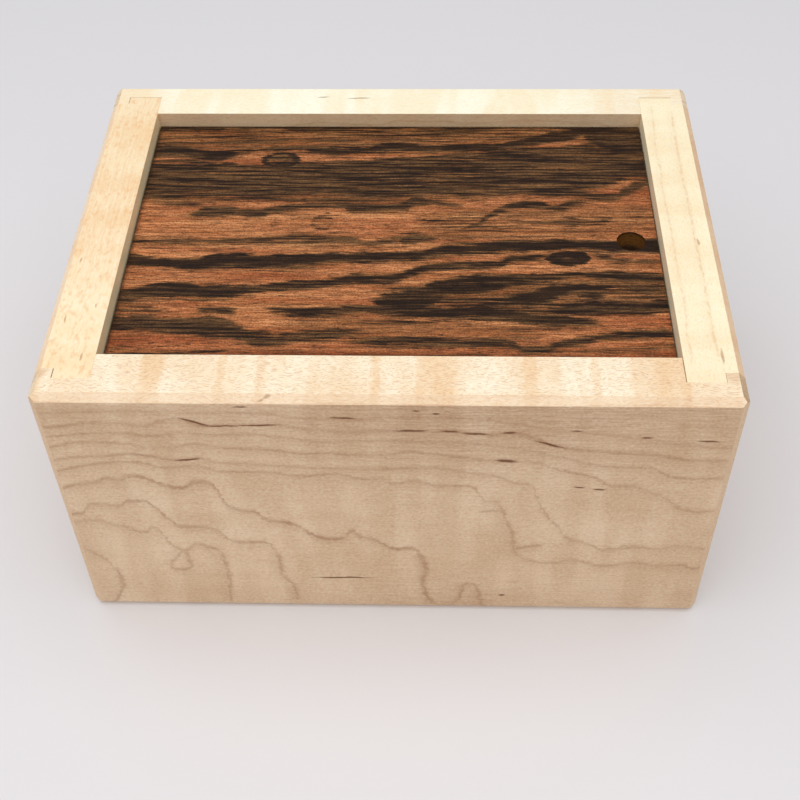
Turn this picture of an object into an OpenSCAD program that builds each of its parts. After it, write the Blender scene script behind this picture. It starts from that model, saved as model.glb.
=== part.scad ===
// Puzzle box: a case of four boards with interlocked corners, and a drop-in lid that carries
// a hidden pair of bolts, worked with a thin pick through one small hole.
// The origin is the middle of the base, +X is to the right, +Y to the back and +Z up.
// Millimetres. The lid is closed and its bolts are drawn in.

/* [Case] */
// Outside width, left to right
case_w = 113.4; // [102:0.1:170]
// Outside depth, front to back
case_d = 84.8; // [76:0.1:130]
// Outside height
case_h = 58.8; // [52:0.1:100]
// Thickness of the four boards
wall_t = 9.6; // [8.8:0.1:12]
// Width of the chamfer on every outside edge
edge_chamfer = 1.25; // [0.5:0.05:1.8]

/* [Corner joints] */
// Wood between a housing's floor and the outer face
housing_web = 4.2; // [3.4:0.1:5]
// Width of the lip that covers the end of a side board
lip_w = 3.3; // [2.4:0.1:4.2]
// Length of that lip past the housing's floor
lip_l = 2.1; // [1.2:0.1:2.8]

/* [Bottom] */
// Thickness of the bottom panel
bottom_t = 6; // [5:0.1:8]
// Height of the panel's underside above the base
bottom_inset = 2.8; // [2:0.1:5]
// Thickness of the tongue round the panel
tongue_t = 3.5; // [2.5:0.1:4.5]
// Height of the tongue's underside above the panel's underside
tongue_rise = 1.2; // [0.5:0.1:1.5]
// Length of the tongue past the inner faces
tongue_l = 4; // [3:0.1:4.4]
// Room at the bottom of a groove for the panel to swell
swell_room = 0.5; // [0.2:0.1:0.8]
// Gap above and below the tongue
tongue_gap = 0.1; // [0.05:0.05:0.2]
// Gap round the panel's raised field
field_gap = 0.3; // [0.1:0.05:0.6]

/* [Lid] */
// Thickness of the lid panel
lid_t = 6; // [5.4:0.1:8]
// Depth of the lid's face below the rim
lid_inset = 2.8; // [1.5:0.1:4]
// Gap round the lid
lid_gap = 0.25; // [0.1:0.05:0.6]
// Softened top edge of the lid
lid_arris = 0.3; // [0.1:0.05:0.8]
// Diameter of the pick hole
hole_d = 5; // [4.4:0.1:5.6]
// Distance of the pick hole from the right-hand inner face
hole_from_wall = 4.9; // [4:0.1:6]
// Place of the pick hole and the lock's axis, from the middle towards the back
lock_y = -1.4; // [-4:0.1:4]

/* [Ledgers] */
// Width of the strips that carry the lid
ledger_w = 5; // [4:0.1:6]
// Height of the strips
ledger_h = 6; // [5:0.1:9]
// Chamfer under each strip
ledger_chamfer = 2; // [0.5:0.1:3]
// Gap between a bolt and the strips beside it
ledger_gap = 2; // [1:0.1:4]

/* [Bolts] */
// Width of a bolt
bolt_w = 12; // [9:0.1:13]
// Thickness of a bolt
bolt_t = 5; // [4:0.1:7]
// Travel of a bolt
bolt_throw = 3.4; // [2.5:0.1:4]
// Gap between a drawn bolt's tip and the wall
tip_gap = 0.5; // [0.3:0.1:1]
// Chamfer on the tip's corners
tip_chamfer = 1.5; // [0.5:0.1:2.5]
// Width of the tail that reaches past the pivot
tail_w = 9; // [7:0.1:11]
// Wood between the slot and the end of the tail
tail_wall = 4; // [2.5:0.1:5]
// Length of the shoulder that joins bar and tail
shoulder_l = 7; // [5:0.1:9]
// Gap between one bolt's bar and the other's tail
bar_gap = 4; // [2:0.1:6]
// Diameter of the notch for the pick
notch_d = 1.6; // [1.2:0.1:2]
// Depth of the notch
notch_depth = 3; // [1.5:0.1:3.5]
// Gap round a bolt in its mortise
strike_gap = 0.3; // [0.2:0.05:0.6]
// Room at the bottom of a mortise past a thrown bolt
strike_room = 1.9; // [1:0.1:2.4]

/* [Guides] */
// Width of each cheek beside the bolt
cheek_w = 6.5; // [5.6:0.1:9]
// Thickness of the guide under the bolt
guide_floor = 3; // [2:0.1:5]
// Chamfer along the guide's lower edges
guide_chamfer = 0.8; // [0.3:0.1:1]
// Sliding gap on each face of a bolt
slide_gap = 0.15; // [0.1:0.05:0.3]
// Gap between guide and side strips
guide_gap = 3; // [2:0.1:5]
// Gap between shoulder and guide with the bolt thrown
stop_gap = 0.3; // [0.1:0.1:0.6]

/* [Rotor] */
// Distance of the drive pins from the pivot
crank_r = 12; // [10.5:0.1:14]
// Diameter of the drive pins
pin_d = 3; // [2.5:0.1:4]
// Width of the rim outside the drive pins
rotor_rim = 3; // [2:0.1:5]
// Thickness of the rotor
rotor_t = 4; // [3:0.1:6]
// Softened edges of the rotor
rotor_arris = 0.5; // [0.2:0.1:1]
// Gap between rotor and bolts
rotor_gap = 0.3; // [0.2:0.05:0.6]
// Gap between a drive pin and the sides of its slot
slot_gap = 0.15; // [0.1:0.05:0.3]
// Length of a slot past its width
slot_l = 1; // [0.6:0.1:2]
// Gap between the tips of the drive pins and the lid
pin_tip_gap = 0.5; // [0.3:0.1:1]

/* [Pivot] */
// Outside diameter of the bush
bush_d = 6; // [5:0.1:8]
// Running gap of the rotor on the bush
running_gap = 0.05; // [0.03:0.01:0.1]
// End play of the rotor above the washer
end_play = 0.2; // [0.1:0.05:0.4]
// Diameter of the washer
washer_d = 9; // [8.5:0.1:13]
// Thickness of the washer
washer_t = 0.8; // [0.5:0.1:1.5]

/* [Screws] */
// Shank diameter of the pivot screw
pivot_d = 3; // [2.5:0.1:4]
// Head diameter of the pivot screw
pivot_head_d = 7; // [5.5:0.1:8]
// Head height of the pivot screw
pivot_head_h = 2.2; // [1.6:0.1:2.6]
// Shank diameter of the guide screws
screw_d = 2.2; // [1.6:0.1:2.8]
// Head diameter of the guide screws
screw_head_d = 4.2; // [3.6:0.1:5]
// Depth that the screws reach into the lid
screw_bite = 4.2; // [3:0.1:4.6]
// Length of a screw's point
point_l = 1.4; // [0.8:0.1:2]
// Gap round a shank that is driven or pressed in
press_gap = 0.02; // [0.01:0.01:0.04]
// Gap round a shank that passes through
pass_gap = 0.1; // [0.05:0.05:0.2]
// Width of the driver slot in a head
driver_w = 0.8; // [0.5:0.1:1]
// Depth of the driver slot in a head
driver_depth = 0.7; // [0.4:0.1:0.9]

/* [Hidden] */
$fn = 64;
maple = "#E6CDA0";
pale_maple = "#DCC294";
striped_wood = "#8F5634";
brass = "#B8913F";

// Length that carries a cut past the face where it opens
past = 1;

// Half sizes of the case, outside and inside
out_x = case_w / 2;
out_y = case_d / 2;
in_x = out_x - wall_t;
in_y = out_y - wall_t;

// Corner joints: housing floor, and the two faces of a lip
housing_y = out_y - housing_web;
lip_x = out_x - lip_w;
lip_y = housing_y - lip_l;

// Groove for the bottom panel's tongue
groove_z = bottom_inset + tongue_rise - tongue_gap;
groove_h = tongue_t + 2 * tongue_gap;
groove_depth = tongue_l + swell_room;

// Heights of the lid and of what hangs under it
lid_z = case_h - lid_inset - lid_t;
bolt_top = lid_z - slide_gap;
bolt_z = bolt_top - bolt_t;
channel_z = bolt_z - slide_gap;
guide_z = channel_z - guide_floor;
rotor_top = bolt_z - rotor_gap;
rotor_z = rotor_top - rotor_t;
washer_top = rotor_z - end_play;
washer_z = washer_top - washer_t;

// Plan of the lock, measured from the pivot
hole_x = in_x - hole_from_wall;
pin_x = bolt_throw / 2;
pin_y = sqrt(crank_r * crank_r - pin_x * pin_x);
slot_w = pin_d + 2 * slot_gap;
tail_end = pin_x + slot_w / 2 + tail_wall;
bar_x = tail_end + bar_gap;
shoulder_x = bar_x + shoulder_l;
tip_x = in_x - tip_gap;
guide_x = shoulder_x + bolt_throw + stop_gap;
guide_l = in_x - ledger_w - guide_gap - guide_x;
channel_y = bolt_w / 2 + slide_gap;
guide_y = channel_y + cheek_w;
screw_x = guide_x + guide_l / 2;
screw_y = channel_y + cheek_w / 2;
notch_x = hole_x - bolt_throw / 2;

// Mortises in the side boards
strike_w = bolt_w + 2 * strike_gap;
strike_h = bolt_t + 2 * strike_gap;
strike_depth = bolt_throw - tip_gap + strike_room;

// Moves a shape to the lock's axis; a half turn gives the left-hand twin of a right-hand piece
module at_lock(turn = 0) {
    translate([0, lock_y, 0]) rotate(turn) children();
}

// Rectangle about the origin with its corners cut at 45 degrees
module chamfered_rect(w, h, cut) {
    polygon([[w / 2 - cut, h / 2], [w / 2, h / 2 - cut], [w / 2, cut - h / 2], [w / 2 - cut, -h / 2],
             [cut - w / 2, -h / 2], [-w / 2, cut - h / 2], [-w / 2, h / 2 - cut], [cut - w / 2, h / 2]]);
}

// Outside of the whole case, with every edge chamfered
module case_block() {
    intersection() {
        linear_extrude(case_h) chamfered_rect(case_w, case_d, edge_chamfer);
        translate([0, 0, case_h / 2]) rotate([90, 0, 90])
            linear_extrude(case_w, center = true) chamfered_rect(case_d, case_h, edge_chamfer);
        translate([0, 0, case_h / 2]) rotate([90, 0, 0])
            linear_extrude(case_d, center = true) chamfered_rect(case_w, case_h, edge_chamfer);
    }
}

// Plan of the front or back board: full width, housed for the side boards and lipped at its ends
function long_plan(side) =
    let (half = [[in_x, in_y], [in_x, housing_y], [lip_x, housing_y],
                 [lip_x, lip_y], [out_x, lip_y], [out_x, out_y]])
    concat([for (p = half) [p[0], side * p[1]]],
           [for (i = [len(half) - 1 : -1 : 0]) [-half[i][0], side * half[i][1]]]);

// Plan of a side board: its ends fill the housings and are rebated for the lips
function side_plan(side) =
    let (half = [[in_x, housing_y], [lip_x, housing_y], [lip_x, lip_y], [out_x, lip_y]])
    concat([for (p = half) [side * p[0], p[1]]],
           [for (i = [len(half) - 1 : -1 : 0]) [side * half[i][0], -half[i][1]]]);

// Front board for side -1, back board for side 1
module long_wall(side) {
    difference() {
        intersection() {
            case_block();
            linear_extrude(case_h) polygon(long_plan(side));
        }
        translate([0, side * (in_y + (groove_depth - past) / 2), groove_z + groove_h / 2])
            cube([2 * in_x, groove_depth + past, groove_h], center = true);
    }
}

// Left board for side -1, right board for side 1, grooved for the bottom and mortised for a bolt
module side_wall(side) {
    difference() {
        intersection() {
            case_block();
            linear_extrude(case_h) polygon(side_plan(side));
        }
        translate([side * (in_x + (groove_depth - past) / 2), 0, groove_z + groove_h / 2])
            cube([groove_depth + past, 2 * (housing_y + past), groove_h], center = true);
        translate([side * (in_x + (strike_depth - past) / 2), lock_y, bolt_z + bolt_t / 2])
            cube([strike_depth + past, strike_w, strike_h], center = true);
    }
}

module front_wall() { color(maple) long_wall(-1); }
module back_wall() { color(maple) long_wall(1); }
module left_wall() { color(maple) side_wall(-1); }
module right_wall() { color(maple) side_wall(1); }

// Bottom panel: a field between the boards and a thinner tongue in their grooves
module bottom_panel() {
    field = 2 * field_gap;
    tongue = 2 * tongue_l;
    color(pale_maple) union() {
        translate([0, 0, bottom_inset + bottom_t / 2])
            cube([2 * in_x - field, 2 * in_y - field, bottom_t], center = true);
        translate([0, 0, bottom_inset + tongue_rise + tongue_t / 2])
            cube([2 * in_x + tongue, 2 * in_y + tongue, tongue_t], center = true);
    }
}

// Strip under the lid's edge, standing against the face at x = 0 and running along Y
module ledger(length) {
    rotate([90, 0, 0]) linear_extrude(length, center = true)
        polygon([[0, 0], [0, -ledger_h], [ledger_chamfer - ledger_w, -ledger_h],
                 [-ledger_w, ledger_chamfer - ledger_h], [-ledger_w, 0]]);
}

// Strip along the front for side -1, or the back for side 1
module long_ledger(side) {
    translate([0, side * in_y, lid_z]) rotate(side * 90) ledger(2 * in_x);
}

// Pair of strips on the left for side -1, or the right for side 1, with a gap for the bolt
module side_ledgers(side) {
    gap = bolt_w / 2 + ledger_gap;
    for (end = [-1, 1]) {
        outer = end * (in_y - ledger_w);
        inner = lock_y + end * gap;
        translate([side * in_x, (outer + inner) / 2, lid_z])
            rotate(side > 0 ? 0 : 180) ledger(abs(outer - inner));
    }
}

module front_ledger() { color(pale_maple) long_ledger(-1); }
module back_ledger() { color(pale_maple) long_ledger(1); }
module left_ledgers() { color(pale_maple) side_ledgers(-1); }
module right_ledgers() { color(pale_maple) side_ledgers(1); }

// Section of the lid panel, standing on y = 0, with its top corners softened
module lid_section(w) {
    polygon([[-w / 2, 0], [w / 2, 0], [w / 2, lid_t - lid_arris], [w / 2 - lid_arris, lid_t],
             [lid_arris - w / 2, lid_t], [-w / 2, lid_t - lid_arris]]);
}

// Lid panel with its pick hole, and blind holes below for the screws
module lid_panel() {
    lid_w = 2 * (in_x - lid_gap);
    lid_d = 2 * (in_y - lid_gap);
    bite = past + screw_bite + press_gap;
    color(striped_wood) difference() {
        translate([0, 0, lid_z]) intersection() {
            rotate([90, 0, 0]) linear_extrude(lid_d, center = true) lid_section(lid_w);
            rotate([90, 0, 90]) linear_extrude(lid_w, center = true) lid_section(lid_d);
        }
        translate([hole_x, lock_y, lid_z - past]) cylinder(d = hole_d, h = lid_t + 2 * past);
        translate([0, lock_y, lid_z - past]) cylinder(d = pivot_d + 2 * press_gap, h = bite);
        for (turn = [0, 180], y = [-screw_y, screw_y])
            at_lock(turn) translate([screw_x, y, lid_z - past])
                cylinder(d = screw_d + 2 * press_gap, h = bite);
    }
}

// Cone of a countersunk head, point up, widened all round by a gap
module screw_cone(gap = 0) {
    cylinder(d1 = screw_head_d + 2 * gap, d2 = screw_d + 2 * gap, h = (screw_head_d - screw_d) / 2);
}

// Saddle screwed under the lid, in which a bolt slides
module guide() {
    translate([guide_x, 0, 0]) difference() {
        rotate([90, 0, 90]) linear_extrude(guide_l)
            polygon([[guide_y, lid_z], [guide_y, guide_z + guide_chamfer], [guide_y - guide_chamfer, guide_z],
                     [guide_chamfer - guide_y, guide_z], [-guide_y, guide_z + guide_chamfer], [-guide_y, lid_z],
                     [-channel_y, lid_z], [-channel_y, channel_z], [channel_y, channel_z], [channel_y, lid_z]]);
        for (y = [-screw_y, screw_y]) translate([guide_l / 2, y, guide_z]) {
            screw_cone(press_gap);
            translate([0, 0, -past])
                cylinder(d = screw_d + 2 * pass_gap, h = lid_z - guide_z + 2 * past);
        }
    }
}

module left_guide() { color(pale_maple) at_lock(180) guide(); }
module right_guide() { color(pale_maple) at_lock() guide(); }

// Shank with a conical point, from z = 0 upwards
module shank(d, length) {
    cylinder(d = d, h = length - point_l);
    translate([0, 0, length - point_l]) cylinder(d1 = d, d2 = d / 4, h = point_l);
}

// Slot across a head whose face lies at z = 0
module driver_slot(head_d) {
    cube([head_d + 2 * past, driver_w, 2 * driver_depth], center = true);
}

// Countersunk screws that hold the guides, two to each
module guide_screws() {
    color(brass) for (turn = [0, 180], y = [-screw_y, screw_y])
        at_lock(turn) translate([screw_x, y, guide_z]) difference() {
            union() {
                screw_cone();
                shank(screw_d, lid_z - guide_z + screw_bite);
            }
            driver_slot(screw_head_d);
        }
}

// Bush that the rotor turns on, clamped against the lid
module pivot_bush() {
    color(brass) at_lock() translate([0, 0, washer_top]) difference() {
        cylinder(d = bush_d, h = lid_z - washer_top);
        translate([0, 0, -past])
            cylinder(d = pivot_d + 2 * pass_gap, h = lid_z - washer_top + 2 * past);
    }
}

// Washer that carries the rotor
module pivot_washer() {
    color(brass) at_lock() translate([0, 0, washer_z]) difference() {
        cylinder(d = washer_d, h = washer_t);
        translate([0, 0, -past]) cylinder(d = pivot_d + 2 * pass_gap, h = washer_t + 2 * past);
    }
}

// Round-headed screw through washer and bush into the lid
module pivot_screw() {
    ball_r = (pow(pivot_head_d / 2, 2) + pow(pivot_head_h, 2)) / (2 * pivot_head_h);
    color(brass) at_lock() translate([0, 0, washer_z]) difference() {
        union() {
            intersection() {
                translate([0, 0, ball_r - pivot_head_h]) sphere(ball_r);
                translate([0, 0, -pivot_head_h]) cylinder(d = pivot_head_d, h = pivot_head_h);
            }
            shank(pivot_d, lid_z - washer_z + screw_bite);
        }
        translate([0, 0, -pivot_head_h]) driver_slot(pivot_head_d);
    }
}

// Disc that turns on the bush, drilled for the two drive pins
module rotor_disc() {
    rim = crank_r + pin_d / 2 + rotor_rim;
    bore = bush_d / 2 + running_gap;
    color(pale_maple) at_lock() translate([0, 0, rotor_z]) difference() {
        rotate_extrude()
            polygon([[bore, 0], [rim - rotor_arris, 0], [rim, rotor_arris], [rim, rotor_t - rotor_arris],
                     [rim - rotor_arris, rotor_t], [bore, rotor_t]]);
        for (turn = [0, 180]) rotate(turn) translate([-pin_x, -pin_y, -past])
            cylinder(d = pin_d + 2 * press_gap, h = rotor_t + 2 * past);
    }
}

// Pins pressed into the rotor, which reach up into the bolts' slots
module drive_pins() {
    color(brass) for (turn = [0, 180])
        at_lock(turn) translate([-pin_x, -pin_y, rotor_z]) cylinder(d = pin_d, h = lid_z - pin_tip_gap - rotor_z);
}

// Bolt: a bar with its tip to the right, and a tail that passes the pivot on the near side
module bolt() {
    translate([0, 0, bolt_z]) difference() {
        linear_extrude(bolt_t)
            polygon([[-tail_end, -pin_y - tail_w / 2], [shoulder_x, -pin_y - tail_w / 2], [shoulder_x, -bolt_w / 2],
                     [tip_x - tip_chamfer, -bolt_w / 2], [tip_x, tip_chamfer - bolt_w / 2],
                     [tip_x, bolt_w / 2 - tip_chamfer], [tip_x - tip_chamfer, bolt_w / 2],
                     [bar_x, bolt_w / 2], [bar_x, tail_w / 2 - pin_y], [-tail_end, tail_w / 2 - pin_y]]);
        translate([-pin_x, -pin_y, -past]) {
            translate([-slot_w / 2, -slot_l / 2, 0]) cube([slot_w, slot_l, bolt_t + 2 * past]);
            for (end = [-1, 1]) translate([0, end * slot_l / 2, 0]) cylinder(d = slot_w, h = bolt_t + 2 * past);
        }
    }
}

module left_bolt() { color(maple) at_lock(180) bolt(); }

// The right-hand bolt has a notch under the pick hole
module right_bolt() {
    color(maple) at_lock() difference() {
        bolt();
        translate([notch_x, 0, bolt_top - notch_depth]) cylinder(d = notch_d, h = notch_depth + past);
    }
}

front_wall();
back_wall();
left_wall();
right_wall();
bottom_panel();
front_ledger();
back_ledger();
left_ledgers();
right_ledgers();
lid_panel();
left_guide();
right_guide();
guide_screws();
pivot_bush();
pivot_washer();
pivot_screw();
rotor_disc();
drive_pins();
left_bolt();
right_bolt();
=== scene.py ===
from functools import partial
from math import atan2, pi, radians

import bmesh
import bpy
from mathutils import Euler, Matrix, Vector


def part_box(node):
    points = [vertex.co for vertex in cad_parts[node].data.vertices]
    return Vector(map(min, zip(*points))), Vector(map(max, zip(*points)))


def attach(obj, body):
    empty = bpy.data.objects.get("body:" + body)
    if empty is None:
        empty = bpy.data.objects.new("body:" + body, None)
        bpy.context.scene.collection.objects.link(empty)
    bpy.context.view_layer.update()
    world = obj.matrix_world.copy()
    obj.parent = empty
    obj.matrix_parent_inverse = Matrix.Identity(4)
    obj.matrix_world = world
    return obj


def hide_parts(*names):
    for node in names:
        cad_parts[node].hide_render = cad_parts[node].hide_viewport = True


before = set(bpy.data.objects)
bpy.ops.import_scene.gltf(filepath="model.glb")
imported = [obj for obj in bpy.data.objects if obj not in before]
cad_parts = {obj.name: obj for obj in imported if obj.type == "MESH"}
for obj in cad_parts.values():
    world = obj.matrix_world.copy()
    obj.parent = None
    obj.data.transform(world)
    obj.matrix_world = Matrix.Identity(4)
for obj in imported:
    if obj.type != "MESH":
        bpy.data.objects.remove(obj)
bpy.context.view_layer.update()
bpy.ops.object.select_all(action="DESELECT")
print("frame loaded:", len(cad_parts), "nodes")

mm = 0.001

# the case's main planes, read off the solids
frontLow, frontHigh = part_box("front_wall")
rightLow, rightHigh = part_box("right_wall")
lidLow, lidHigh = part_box("lid_panel")
rotorLow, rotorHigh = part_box("rotor_disc")
outX, outY, caseTop = frontHigh.x, -frontLow.y, frontHigh.z
caseWide, caseDeep = 2 * outX, 2 * outY
inX, inY = rightLow.x, -frontHigh.y
housingY = rightHigh.y
lidTop = lidHigh.z
lockY = (rotorLow.y + rotorHigh.y) / 2  # the middle line of the bolts, the pivot and the hole

# camera: the photograph's own view, in its square frame
cameraView = {"place": (0.007963, -0.175736, 0.206144), "turn": (42.164, 0.939, 1.425), "lens": 57.61,
              "sensor": 36, "pixels": 800}
viewPlace = Vector(cameraView["place"])
viewTurn = Euler([radians(angle) for angle in cameraView["turn"]])
focalPixels = cameraView["pixels"] * cameraView["lens"] / cameraView["sensor"]
middlePixel = cameraView["pixels"] / 2

bpy.ops.object.camera_add(location=viewPlace, rotation=viewTurn)
camera = bpy.context.object
camera.data.lens = cameraView["lens"]
camera.data.clip_start = 10 * mm
bpy.context.scene.camera = camera


def pixelOnPlane(pixel, axis, level):
    # where the ray through a pixel meets the plane at that level of an axis
    ray = viewTurn.to_matrix() @ Vector((pixel[0] - middlePixel, middlePixel - pixel[1], -focalPixels))
    return viewPlace + ray * ((level - viewPlace[axis]) / ray[axis])


def shareAtPixel(pixel, axis, level):
    # the same place in shares of the case's width, depth and height
    spot = pixelOnPlane(pixel, axis, level)
    return Vector((spot.x / caseWide + 0.5, spot.y / caseDeep + 0.5, spot.z / caseTop))


def srgb(hexText):
    parts = [int(hexText[i:i + 2], 16) / 255 for i in (1, 3, 5)]
    return [c / 12.92 if c <= 0.04045 else ((c + 0.055) / 1.055) ** 2.4 for c in parts] + [1]


def setInputs(tree, node, values):
    # by name, or in the sockets' own order; a socket among the values is linked, a plain value is written
    for key, value in values.items() if isinstance(values, dict) else enumerate(values):
        if isinstance(value, bpy.types.NodeSocket):
            tree.links.new(value, node.inputs[key])
        else:
            node.inputs[key].default_value = value


def addNode(tree, kind, links=(), points=None, **settings):
    node = tree.nodes.new("ShaderNode" + kind)
    for key, value in settings.items():
        setattr(node, key, value)
    setInputs(tree, node, links)
    if points:  # a curve passes through its points, both ways from 0 to 1
        points, handles = sorted(points), node.mapping.curves[0].points
        handles[0].location, handles[1].location = points[0], points[-1]
        for point in points[1:-1]:
            handles.new(*point)
        for handle in handles:
            handle.handle_type = "AUTO_CLAMPED"
        node.mapping.update()
    return next(socket for socket in node.outputs if socket.enabled)


def startMaterial(name):
    # gives the material, a short way to add its nodes, and the place on the piece in millimetres
    material = bpy.data.materials.new(name)
    material.use_nodes = True
    add = partial(addNode, material.node_tree)
    here = add("TexCoord").node.outputs["Object"]
    return material, add, add("VectorMath", {0: here, "Scale": 1 / mm}, operation="SCALE")


def finishMaterial(material, values):
    setInputs(material.node_tree, material.node_tree.nodes["Principled BSDF"], values)
    return material


# studio: a pale floor, one wide soft light high behind the left shoulder of the box, and a dim sky
studio = {"floor": "#E2DFDF", "floorSize": 4, "floorRough": 0.9, "keyPlace": (-0.04, -0.16, 0.62),
          "keyAim": (0, 0, 0.03), "keySize": 0.95, "keyPower": 4.5, "skyColour": "#F4F7FF", "sky": 0.44}

bpy.ops.mesh.primitive_plane_add(size=studio["floorSize"], location=(0, 0, 0))
floor = bpy.context.object
floor.name = "studioFloor"
floorPaint = bpy.data.materials.new("mattFloorPaint")  # matt paint: no gleam, only the soft shadow
floorPaint.use_nodes = True
finishMaterial(floorPaint, {"Base Color": srgb(studio["floor"]), "Roughness": studio["floorRough"]})
floor.data.materials.append(floorPaint)

bpy.ops.object.light_add(type="AREA", location=studio["keyPlace"])
key = bpy.context.object
key.data.size = studio["keySize"]
key.data.energy = studio["keyPower"]
key.rotation_euler = (Vector(studio["keyAim"]) - key.location).to_track_quat("-Z", "Y").to_euler()

world = bpy.data.worlds.new("softSky")
world.use_nodes = True
setInputs(world.node_tree, world.node_tree.nodes["Background"],
          {"Color": srgb(studio["skyColour"]), "Strength": studio["sky"]})
bpy.context.scene.world = world
bpy.context.scene.view_settings.view_transform = "Standard"
print("camera, floor and light set")


def fibres(add, wood, along, across, detail=2.0, shift=0.0, spread=None, to=(0, 1), smooth=False):
    # noise drawn out along the grain, with features of the given millimetres; spread cuts off its ends
    place = add("VectorMath", [wood, (1 / along, 1 / across, 1 / across), (shift, shift, shift)],
                operation="MULTIPLY_ADD")
    noise = add("TexNoise", {"Vector": place, "Scale": 1.0, "Detail": detail})
    if not spread:
        return noise
    return add("MapRange", [noise, spread[0], spread[1], to[0], to[1]],
               interpolation_type="SMOOTHSTEP" if smooth else "LINEAR")


def caseShares(add, place):
    # how far a place lies along the case's width, depth and height, from 0 to 1
    shares = add("VectorMath", [place, (mm / caseWide, mm / caseDeep, mm / caseTop), (0.5, 0.5, 0)],
                 operation="MULTIPLY_ADD")
    return add("SeparateXYZ", [shares]).node.outputs


# growth lines of the front board's flat-sawn face, followed in the photograph's pixels: the way that
# each runs, how dark it is, and where it passes
growthLines = [
    ("x", 0.5, [
        (40, 414), (84, 412), (122, 411), (173, 413), (250, 413), (301, 418), (352, 420), (380, 418),
        (431, 418), (495, 421), (533, 427), (584, 433), (635, 438), (686, 445), (738, 449)]),
    ("x", 0.75, [
        (40, 428), (63, 426), (84, 423), (114, 423), (142, 426), (163, 420), (178, 419), (204, 426),
        (239, 425), (275, 425), (301, 429), (326, 431), (359, 432), (395, 430), (428, 431), (457, 432),
        (487, 435), (515, 433), (533, 438), (564, 448), (610, 452), (661, 456), (699, 461), (733, 461)]),
    ("x", 0.6, [
        (44, 437), (84, 434), (122, 433), (148, 436), (186, 433), (214, 435), (250, 434), (275, 437),
        (301, 440), (321, 442), (380, 441), (431, 442), (482, 445), (533, 451), (571, 460), (610, 467),
        (648, 468), (673, 477), (699, 479), (728, 478)]),
    ("x", 0.65, [
        (46, 448), (86, 442), (117, 443), (148, 447), (168, 448), (193, 444), (214, 447), (250, 449),
        (275, 450), (303, 454), (326, 453), (357, 455), (390, 455), (405, 452), (456, 457), (502, 461),
        (523, 461), (559, 470), (584, 475), (597, 479), (610, 486), (635, 487), (650, 492), (668, 500),
        (684, 510), (699, 512), (718, 510)]),
    ("x", 0.65, [
        (52, 460), (79, 457), (104, 456), (130, 454), (153, 457), (176, 460), (199, 458), (214, 462),
        (250, 464), (301, 467), (352, 469), (380, 469), (431, 468), (469, 473), (502, 478), (513, 483),
        (528, 484), (536, 495), (543, 510), (559, 528), (569, 539), (587, 544), (610, 551), (625, 546),
        (658, 549), (678, 546), (706, 549)]),
    ("x", 0.65, [
        (54, 472), (71, 468), (104, 463), (135, 462), (163, 468), (196, 466), (224, 472), (262, 472),
        (301, 476), (334, 474), (364, 479), (382, 479), (395, 484), (413, 481), (439, 486), (469, 486),
        (478, 492), (485, 501), (498, 503)]),
    ("z", 0.7, [(495, 502), (502, 508), (505, 518), (511, 529), (513, 543), (515, 553), (521, 558)]),
    ("x", 0.7, [
        (514, 553), (528, 560), (553, 563), (569, 560), (602, 566), (635, 563), (656, 566), (684, 565),
        (691, 569), (704, 566)]),
    ("x", 1.0, [
        (60, 489), (74, 485), (97, 482), (107, 478), (117, 480), (132, 476), (148, 479), (163, 485),
        (181, 488), (196, 482), (209, 483), (219, 494), (227, 505), (244, 511), (255, 512), (267, 520),
        (285, 522), (301, 528), (313, 535), (331, 539), (344, 538), (352, 531), (359, 536), (375, 540),
        (387, 546), (397, 549), (411, 548), (421, 555)]),
    ("z", 1.0, [(419, 553), (424, 562), (426, 570), (423, 580), (424, 588), (427, 596), (434, 604)]),
    ("z", 0.8, [(448, 606), (457, 600), (461, 592), (464, 585), (468, 582)]),
    ("z", 0.8, [(467, 582), (475, 585), (478, 592), (480, 600), (483, 607)]),
    ("x", 0.8, [
        (66, 514), (83, 513), (87, 506), (94, 504), (120, 506), (127, 501), (142, 501), (153, 506),
        (163, 515), (173, 522), (183, 527), (199, 527), (214, 529), (224, 536), (239, 542), (262, 542),
        (273, 547), (279, 554)]),
    ("z", 0.8, [(277, 551), (280, 560), (281, 568), (285, 578), (293, 583), (298, 600)]),
    ("x", 0.75, [
        (70, 523), (97, 520), (107, 523), (127, 527), (145, 532), (153, 528), (160, 531), (168, 541),
        (178, 548), (186, 550), (196, 544), (209, 547), (219, 550), (224, 557)]),
    ("z", 0.75, [(183, 550), (178, 556), (172, 563), (171, 566)]),
    ("z", 0.75, [(185, 550), (188, 556), (191, 563), (192, 567)]),
    ("x", 0.75, [(169, 565), (176, 569), (186, 569), (194, 566)]),
    ("z", 0.75, [(222, 553), (225, 561), (229, 574), (230, 586), (231, 601)]),
    ("x", 0.7, [(80, 545), (94, 553), (107, 560), (117, 571)]),
    ("z", 0.7, [(115, 567), (121, 577), (123, 585), (120, 594), (115, 602)]),
    ("x", 0.6, [(482, 503), (490, 501), (501, 502)]),
    ("x", 0.55, [(480, 512), (490, 511), (502, 511)]),
    ("x", 0.75, [(513, 549), (525, 547), (543, 545)]),
    ("x", 0.7, [(604, 549), (620, 549), (636, 547)]),
]
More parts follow.
